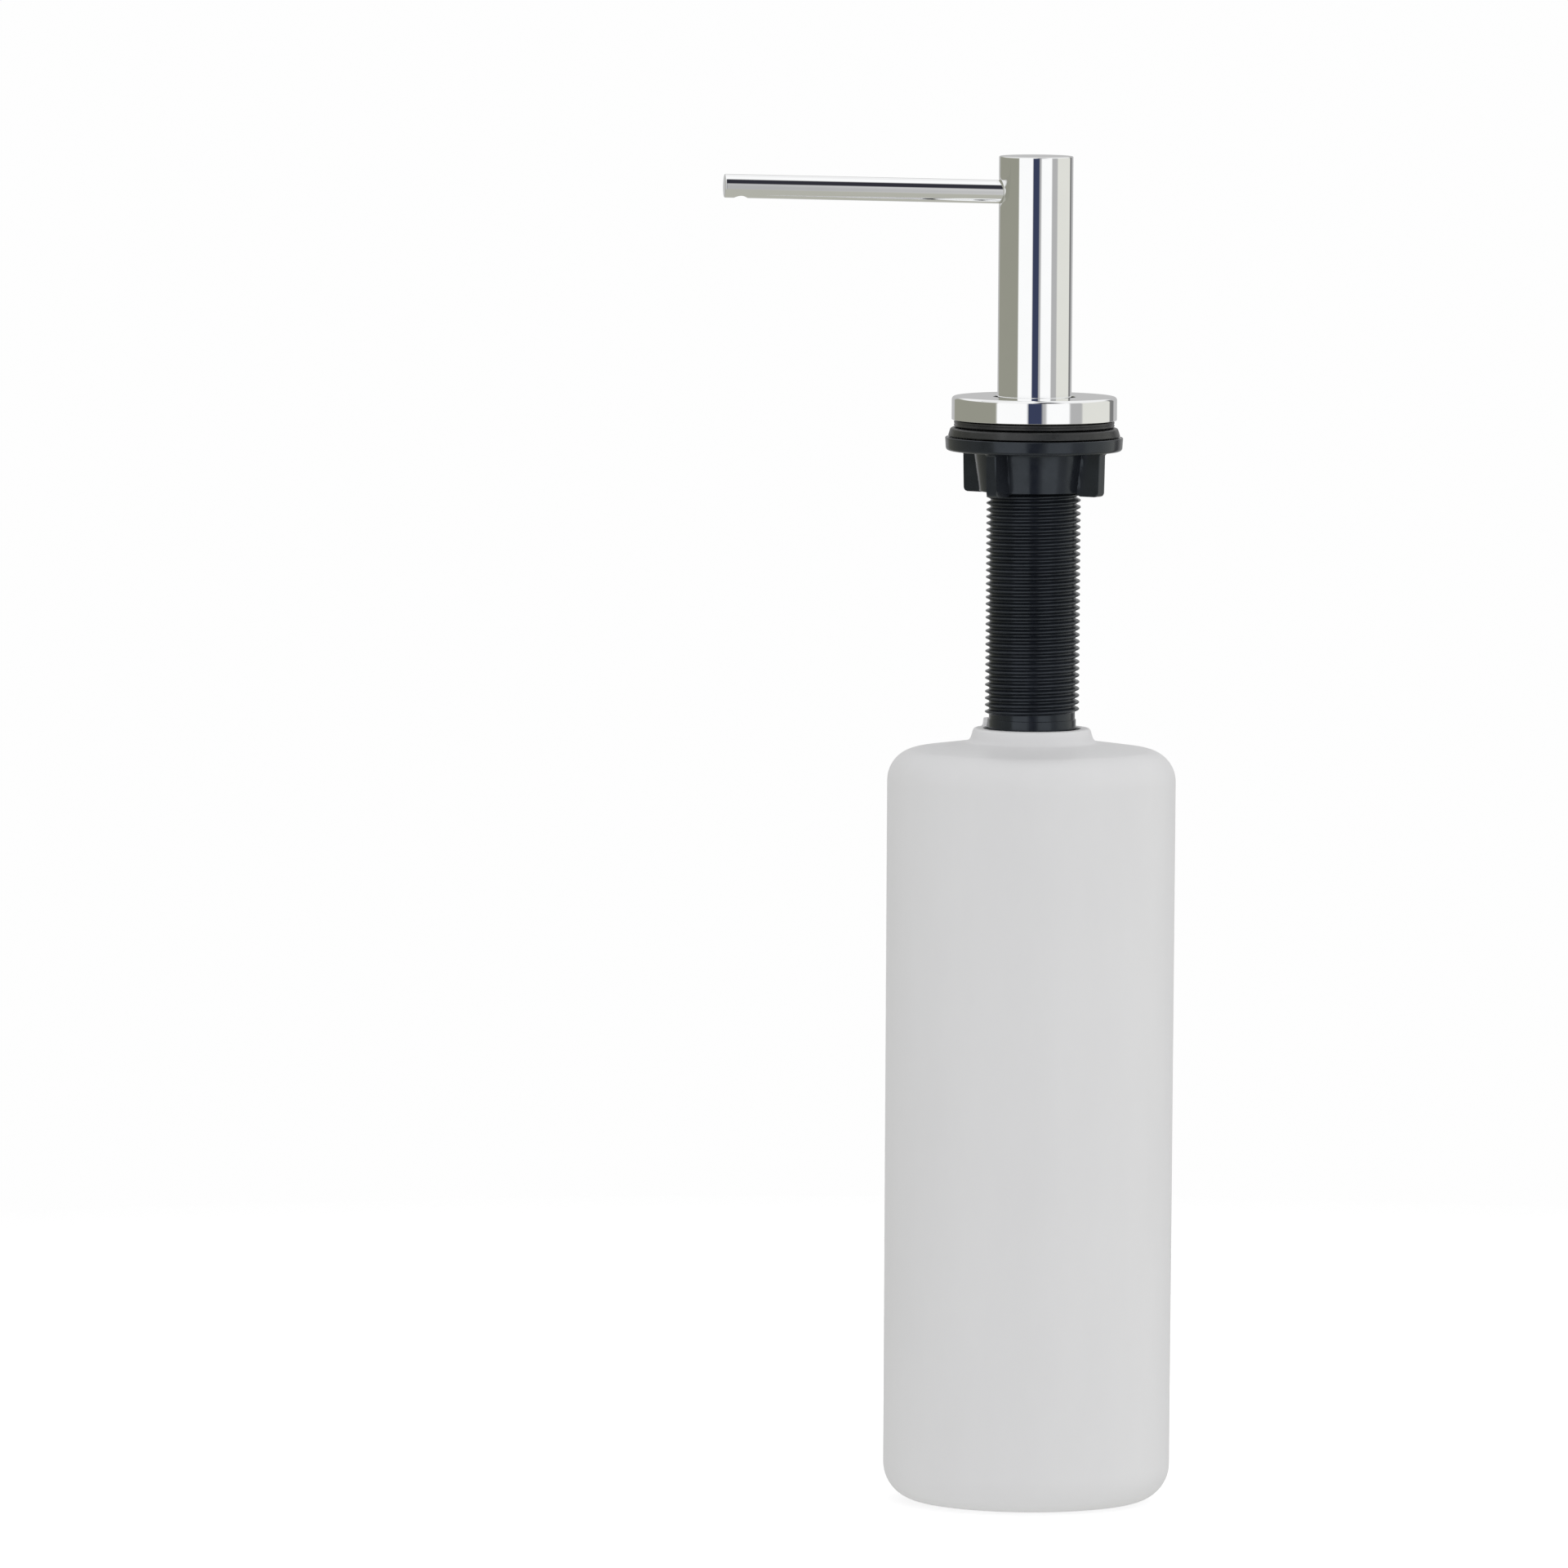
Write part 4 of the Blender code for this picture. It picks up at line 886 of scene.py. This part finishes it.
def make_piston(settings, material):
    """Socket for the stem above, a soap channel through it and a lip at each end."""
    top, bottom, lip = high("piston"), low("piston"), reach("piston")
    waist, hole, channel = lip - 0.7 * MM, 4.3 * MM, 2.2 * MM
    corners = [
        (hole, top, 0.15 * MM),
        (lip, top, 0.15 * MM),
        (lip, top - 1.4 * MM, 0.3 * MM),
        (waist, top - 2.1 * MM, 0.4 * MM),
        (waist, bottom + 2.1 * MM, 0.4 * MM),
        (lip, bottom + 1.4 * MM, 0.3 * MM),
        (lip, bottom, 0.15 * MM),
        (channel, bottom, 0.2 * MM),
        (channel, top - 8.0 * MM, 0.2 * MM),
        (hole, top - 8.0 * MM, 0.2 * MM),
    ]
    patches = [spun(outline(corners, steps=5), settings.turns)]
    return make_piece("piston_seal", patches, material, "piston", ["piston"])


def make_return_spring(settings, material):
    """Round wire carried along a helix whose end coils lie flat.

    The wire's middle at share s is (R cos a, R sin a, z), a = coils * full turn * s. z climbs evenly between the
    closed coils at the ends. Each ring is the middle plus r (cos b * outward + sin b * across the helix).
    """
    bottom, top, wire = low("return_spring"), high("return_spring"), settings.wire_r
    radius = reach("return_spring") - wire
    share = np.linspace(0.0, 1.0, settings.coils * 40 + 1)
    angle = settings.coils * TAU * share
    flat = 0.75 / settings.coils
    climb = np.clip((share - flat) / (1 - 2 * flat), 0.0, 1.0)
    closed_coils = 1.15 * wire * (np.minimum(share, flat) + np.maximum(share - 1 + flat, 0.0)) / flat
    height = bottom + wire + closed_coils + (top - bottom - 2 * wire - 2.3 * wire) * climb
    outward = np.stack([np.cos(angle), np.sin(angle), 0 * angle], axis=1)
    middle = outward * radius + height[:, None] * np.array([0.0, 0.0, 1.0])
    tangent = np.gradient(middle, axis=0)
    tangent /= np.linalg.norm(tangent, axis=1, keepdims=True)
    upward = np.cross(outward, tangent)
    size = np.ones(len(share))
    size[[0, -1]] = 0.0
    size[[1, -2]] = 0.8
    bearing = np.arange(14) * TAU / 14
    ring = outward[:, None] * np.cos(bearing)[None, :, None]
    ring = ring + upward[:, None] * np.sin(bearing)[None, :, None]
    points = middle[:, None] + wire * size[:, None, None] * ring
    patches = [(points, False, True, None)]
    spring = make_piece("return_coil", patches, material, "pump", ["return_spring"])
    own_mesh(spring)
    return spring


def give_material(node, material):
    """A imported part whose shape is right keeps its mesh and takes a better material."""
    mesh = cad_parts[node].data
    mesh.materials.clear()
    mesh.materials.append(material)


# Room, floor and camera

# Upright panels round the room: bearing of the left edge in degrees, + to the camera's right, and the colour
WHITE_PANEL = (1.0, 1.0, 1.0)
OLIVE_WALL = (0.3, 0.3, 0.25)
BEIGE_WALL = (0.75, 0.75, 0.7)
GREY_FLAG = (0.45, 0.45, 0.45)
BACK_WALL = (0.5, 0.5, 0.5)
CAMERA_GAP = (0.04, 0.05, 0.1)
DARK_GAP = (0.2, 0.2, 0.2)
PANELS = [
    (-180, BACK_WALL),
    (-150, OLIVE_WALL),
    (-55, WHITE_PANEL),
    (-10, CAMERA_GAP),
    (10, GREY_FLAG),
    (16, WHITE_PANEL),
    (50, GREY_FLAG),
    (70, BEIGE_WALL),
    (130, DARK_GAP),
    (145, BACK_WALL),
]
PANEL_BLUR = 1.5
# Elevation in degrees and how much of the floor, the level part and the ceiling is seen there
FLOOR_FADE = (-34.0, -22.0)
SHELF_FADE = (20.0, 30.0)
SHELF_BEARING = math.radians(22.0)
CEILING_FADE = (64.0, 74.0)


def math_node(tree, operation, first, second=None):
    node = tree.nodes.new("ShaderNodeMath")
    node.operation = operation
    for socket, value in zip(node.inputs, (first, second)):
        if isinstance(value, (int, float)):
            socket.default_value = value
        elif value is not None:
            tree.links.new(value, socket)
    return node.outputs[0]


def make_room(settings):
    """Soft studio light: upright panels near level, a shaded band above, a white ceiling and a pale floor."""
    world = bpy.data.worlds.new("studio")
    bpy.context.scene.world = world
    world.use_nodes = True
    tree = world.node_tree
    tree.nodes.clear()
    direction = tree.nodes.new("ShaderNodeTexCoord").outputs["Generated"]
    turn = tree.nodes.new("ShaderNodeVectorRotate")
    turn.rotation_type = "Z_AXIS"
    turn.inputs["Angle"].default_value = -settings.bearing
    tree.links.new(direction, turn.inputs["Vector"])
    split = tree.nodes.new("ShaderNodeSeparateXYZ")
    tree.links.new(turn.outputs["Vector"], split.inputs["Vector"])
    toward = math_node(tree, "MULTIPLY", split.outputs["Y"], -1.0)
    bearing = math_node(tree, "ARCTAN2", split.outputs["X"], toward)
    around = math_node(tree, "MULTIPLY_ADD", bearing, 1 / TAU)
    around.node.inputs[2].default_value = 0.5
    panels = tree.nodes.new("ShaderNodeValToRGB")
    tree.links.new(around, panels.inputs["Fac"])
    stops = panels.color_ramp.elements
    stops.remove(stops[1])
    lefts = [left for left, _ in PANELS]
    for left, right, (_, shade) in zip(lefts, lefts[1:] + [180], PANELS):
        for edge in (left + PANEL_BLUR, right - PANEL_BLUR):
            stops.new(edge / 360 + 0.5).color = (*shade, 1.0)
    stops.remove(stops[0])
    level = math_node(tree, "ARCSINE", split.outputs["Z"])
    degrees = math_node(tree, "MULTIPLY", level, 360 / TAU)
    off_axis = math_node(tree, "ABSOLUTE", math_node(tree, "SUBTRACT", bearing, SHELF_BEARING))
    side = remap(tree, off_axis, math.radians(12), math.radians(26), 0.0, 1.0)
    shelf = blend_colors(tree, side, (0.03, 0.03, 0.04), (0.9, 0.9, 0.9))
    color_at = blend_colors(tree, remap(tree, degrees, *SHELF_FADE, 0.0, 1.0), panels.outputs["Color"], shelf)
    color_at = blend_colors(tree, remap(tree, degrees, *CEILING_FADE, 0.0, 1.0), color_at, (1.0, 1.0, 1.0))
    color_at = blend_colors(tree, remap(tree, degrees, *FLOOR_FADE, 0.0, 1.0), (0.45, 0.45, 0.4), color_at)
    path = tree.nodes.new("ShaderNodeLightPath")
    wash = remap(tree, split.outputs["X"], -1.0, 1.0, 0.0, 1.0)
    wash = blend_colors(tree, wash, (0.7, 0.7, 0.7), (1.0, 1.0, 1.0))
    wash = blend_colors(tree, remap(tree, split.outputs["Z"], -0.7, 0.2, 0.0, 1.0), (0.8, 0.8, 0.8), wash)
    color_at = blend_colors(tree, path.outputs["Is Diffuse Ray"], color_at, wash)
    light = tree.nodes.new("ShaderNodeBackground")
    light.inputs["Strength"].default_value = settings.light
    tree.links.new(color_at, light.inputs["Color"])
    plain = tree.nodes.new("ShaderNodeBackground")
    plain.inputs["Color"].default_value = (0.99, 0.99, 0.99, 1.0)
    choose = tree.nodes.new("ShaderNodeMixShader")
    tree.links.new(path.outputs["Is Camera Ray"], choose.inputs["Fac"])
    tree.links.new(light.outputs["Background"], choose.inputs[1])
    tree.links.new(plain.outputs["Background"], choose.inputs[2])
    tree.links.new(choose.outputs[0], tree.nodes.new("ShaderNodeOutputWorld").inputs["Surface"])


def make_floor(settings):
    """Pale disc under the bottle that fades out towards its edge."""
    radius = np.linspace(0.0, settings.floor_r, 12)
    profile = np.stack([radius[::-1], np.full_like(radius, low("bottle") - 0.2 * MM)], axis=1)
    grid = spun(profile, 96, closed=False)[0][:, ::-1]
    mesh = bpy.data.meshes.new("floor")
    faces = grid_faces(*grid.shape[:2], True, False, None)
    mesh.from_pydata(grid.reshape(-1, 3), [], faces)
    floor = bpy.data.objects.new("floor", mesh)
    bpy.context.scene.collection.objects.link(floor)
    material, tree, shader, place = new_finish("pale_floor")
    grain = noise(tree, place, 30.0, 3.0)
    floor_color = blend_colors(tree, grain, (0.90, 0.90, 0.90), (0.92, 0.92, 0.92))
    tree.links.new(floor_color, shader.inputs["Base Color"])
    shader.inputs["Roughness"].default_value = 0.7
    shader.inputs["Specular IOR Level"].default_value = 0.1
    shader.inputs["Emission Color"].default_value = (1.0, 1.0, 1.0, 1.0)
    shader.inputs["Emission Strength"].default_value = 0.35
    out = tree.nodes.new("ShaderNodeVectorMath")
    out.operation = "LENGTH"
    tree.links.new(place, out.inputs[0])
    shader_fade = remap(tree, out.outputs["Value"], settings.floor_r * 0.45, settings.floor_r, 0.0, 1.0)
    choose = tree.nodes.new("ShaderNodeMixShader")
    tree.links.new(shader_fade, choose.inputs["Fac"])
    tree.links.new(shader.outputs["BSDF"], choose.inputs[1])
    tree.links.new(tree.nodes.new("ShaderNodeBsdfTransparent").outputs["BSDF"], choose.inputs[2])
    tree.links.new(choose.outputs[0], tree.nodes["Material Output"].inputs["Surface"])
    mesh.materials.append(material)
    floor.visible_glossy = False
    floor.visible_diffuse = False
    floor.visible_shadow = False


def make_camera(settings):
    """Long lens from a little above the deck, turned so that the spout points left."""
    data = bpy.data.cameras.new("camera")
    data.lens = settings.lens
    data.sensor_width = 36.0
    data.clip_start = 0.05
    data.clip_end = 50.0
    camera = bpy.data.objects.new("camera", data)
    bpy.context.scene.collection.objects.link(camera)
    turn, lift = settings.bearing, settings.elevation
    back = Vector((math.sin(turn) * math.cos(lift), -math.cos(turn) * math.cos(lift), math.sin(lift)))
    aim = Vector((-0.0729, 0.0090, -0.1068))
    camera.rotation_mode = "QUATERNION"
    camera.location = aim + back * settings.distance
    lean = Matrix.Rotation(settings.roll, 3, "Z")
    camera.rotation_quaternion = ((-back).to_track_quat("-Z", "Y").to_matrix() @ lean).to_quaternion()
    bpy.context.scene.camera = camera


# Operators


class DISPENSER_OT_stage(bpy.types.Operator):
    """Adds the camera, the floor and the studio light"""

    bl_idname = "dispenser.stage"
    bl_label = "Stage"

    def execute(self, context):
        settings = context.scene.dispenser_stage
        make_camera(settings)
        make_room(settings)
        make_floor(settings)
        context.scene.view_settings.view_transform = "Standard"
        return {"FINISHED"}


class DISPENSER_OT_head(bpy.types.Operator):
    """Makes the push head and its spout, and finishes the pieces inside them"""

    bl_idname = "dispenser.head"
    bl_label = "Push head and spout"

    def execute(self, context):
        settings, pump = context.scene.dispenser_chrome, context.scene.dispenser_pump
        make_head_body(settings, chrome("head_plating", settings.tint))
        make_spout(settings, chrome("spout_plating", settings.tint))
        insert = frosted_plastic("insert_plastic", pump.natural, (0.70, 0.70, 0.66), 1.5 * MM, 0.42)
        for node in ("spout_socket", "riser_tube", "stem_adapter"):
            give_material(node, insert)
        make_plain_ring("head_stem", "stem", 2.2 * MM, "head", insert)
        ball_steel = drawn_steel("outlet_ball_steel", pump.steel)
        make_ball("outlet_valve_ball", "outlet_ball", "outlet_valve", ball_steel)
        return {"FINISHED"}


class DISPENSER_OT_flange(bpy.types.Operator):
    """Makes the chrome deck flange and the gasket under it"""

    bl_idname = "dispenser.flange"
    bl_label = "Deck flange and gasket"

    def execute(self, context):
        settings, shank = context.scene.dispenser_chrome, context.scene.dispenser_shank
        make_deck_flange(settings, chrome("flange_plating", settings.tint))
        make_deck_gasket(rubber("gasket_rubber", shank.rubber))
        return {"FINISHED"}


class DISPENSER_OT_shank(bpy.types.Operator):
    """Makes the threaded shank"""

    bl_idname = "dispenser.shank"
    bl_label = "Threaded shank"

    def execute(self, context):
        settings = context.scene.dispenser_shank
        material = black_plastic("shank_plastic", settings.plastic, 0.19, 0.0015 * MM)
        make_shank(settings, context.scene.dispenser_chrome, material)
        return {"FINISHED"}


class DISPENSER_OT_nut(bpy.types.Operator):
    """Makes the wing nut and the rubber washer on it"""

    bl_idname = "dispenser.nut"
    bl_label = "Wing nut and washer"

    def execute(self, context):
        settings, shank = context.scene.dispenser_nut, context.scene.dispenser_shank
        make_wing_nut(settings, black_plastic("nut_plastic", shank.plastic, 0.17, 0.0015 * MM))
        make_clamp_washer(rubber("washer_rubber", shank.rubber))
        return {"FINISHED"}


class DISPENSER_OT_bottle(bpy.types.Operator):
    """Makes the bottle and the seal in its neck"""

    bl_idname = "dispenser.bottle"
    bl_label = "Bottle"

    def execute(self, context):
        settings, shank = context.scene.dispenser_bottle, context.scene.dispenser_shank
        plastic = frosted_plastic("bottle_plastic", settings.plastic, settings.shade, 3.0 * MM, 0.40, 0.28)
        make_bottle(settings, plastic)
        seal = rubber("seal_rubber", shank.rubber)
        make_plain_ring("neck_seal_ring", "bottle_seal", 10.9 * MM, "neck_seal", seal)
        return {"FINISHED"}


class DISPENSER_OT_pump(bpy.types.Operator):
    """Makes the pump: cylinder, guide, piston, spring, valve ball and dip tube"""

    bl_idname = "dispenser.pump"
    bl_label = "Pump"

    def execute(self, context):
        settings, shank = context.scene.dispenser_pump, context.scene.dispenser_shank
        natural = frosted_plastic("pump_plastic", settings.natural, (0.70, 0.70, 0.67), 2.0 * MM, 0.36)
        make_pump_housing(settings, natural)
        give_material("ball_cage", natural)
        make_pump_collar(settings, black_plastic("guide_plastic", shank.plastic, 0.38, 0.01 * MM))
        piston_look = frosted_plastic("piston_plastic", (0.60, 0.68, 0.78), (0.52, 0.60, 0.70), 1.5 * MM, 0.4)
        make_piston(settings, piston_look)
        gasket = rubber("pump_gasket_rubber", shank.rubber)
        make_plain_ring("pump_gasket_ring", "pump_gasket", 8.5 * MM, "pump", gasket)
        tube = frosted_plastic("tube_plastic", (0.80, 0.81, 0.80), (0.74, 0.75, 0.74), 1.5 * MM, 0.30)
        inner = reach("dip_tube") - settings.tube_wall
        make_plain_ring("suction_tube", "dip_tube", inner, "pump", tube)
        make_return_spring(settings, drawn_steel("spring_steel", settings.steel))
        ball_steel = drawn_steel("inlet_ball_steel", settings.steel)
        make_ball("inlet_valve_ball", "inlet_ball", "inlet_valve", ball_steel)
        return {"FINISHED"}


OPERATORS = (
    DISPENSER_OT_stage,
    DISPENSER_OT_head,
    DISPENSER_OT_flange,
    DISPENSER_OT_shank,
    DISPENSER_OT_nut,
    DISPENSER_OT_bottle,
    DISPENSER_OT_pump,
)

SETTINGS = {
    "dispenser_chrome": ChromeSettings,
    "dispenser_shank": ShankSettings,
    "dispenser_nut": NutSettings,
    "dispenser_bottle": BottleSettings,
    "dispenser_pump": PumpSettings,
    "dispenser_stage": StageSettings,
}


class DISPENSER_PT_panel(bpy.types.Panel):
    """Lists the pieces of the dispenser"""

    bl_idname = "DISPENSER_PT_panel"
    bl_label = "Soap pump dispenser"
    bl_space_type = "VIEW_3D"
    bl_region_type = "UI"
    bl_category = "Dispenser"

    def draw(self, context):
        for operator in OPERATORS:
            self.layout.operator(operator.bl_idname)
        for name in SETTINGS:
            box = self.layout.box()
            group = getattr(context.scene, name)
            for key in group.__annotations__:
                box.prop(group, key)


def register():
    for group in SETTINGS.values():
        bpy.utils.register_class(group)
    for operator in OPERATORS:
        bpy.utils.register_class(operator)
    bpy.utils.register_class(DISPENSER_PT_panel)
    for name, group in SETTINGS.items():
        setattr(bpy.types.Scene, name, PointerProperty(type=group))


def unregister():
    for name in SETTINGS:
        delattr(bpy.types.Scene, name)
    bpy.utils.unregister_class(DISPENSER_PT_panel)
    for operator in reversed(OPERATORS):
        bpy.utils.unregister_class(operator)
    for group in SETTINGS.values():
        bpy.utils.unregister_class(group)


def main():
    register()
    bpy.ops.dispenser.stage()
    bpy.ops.dispenser.head()
    bpy.ops.dispenser.flange()
    bpy.ops.dispenser.shank()
    bpy.ops.dispenser.nut()
    bpy.ops.dispenser.bottle()
    bpy.ops.dispenser.pump()


if __name__ == "__main__":
    main()
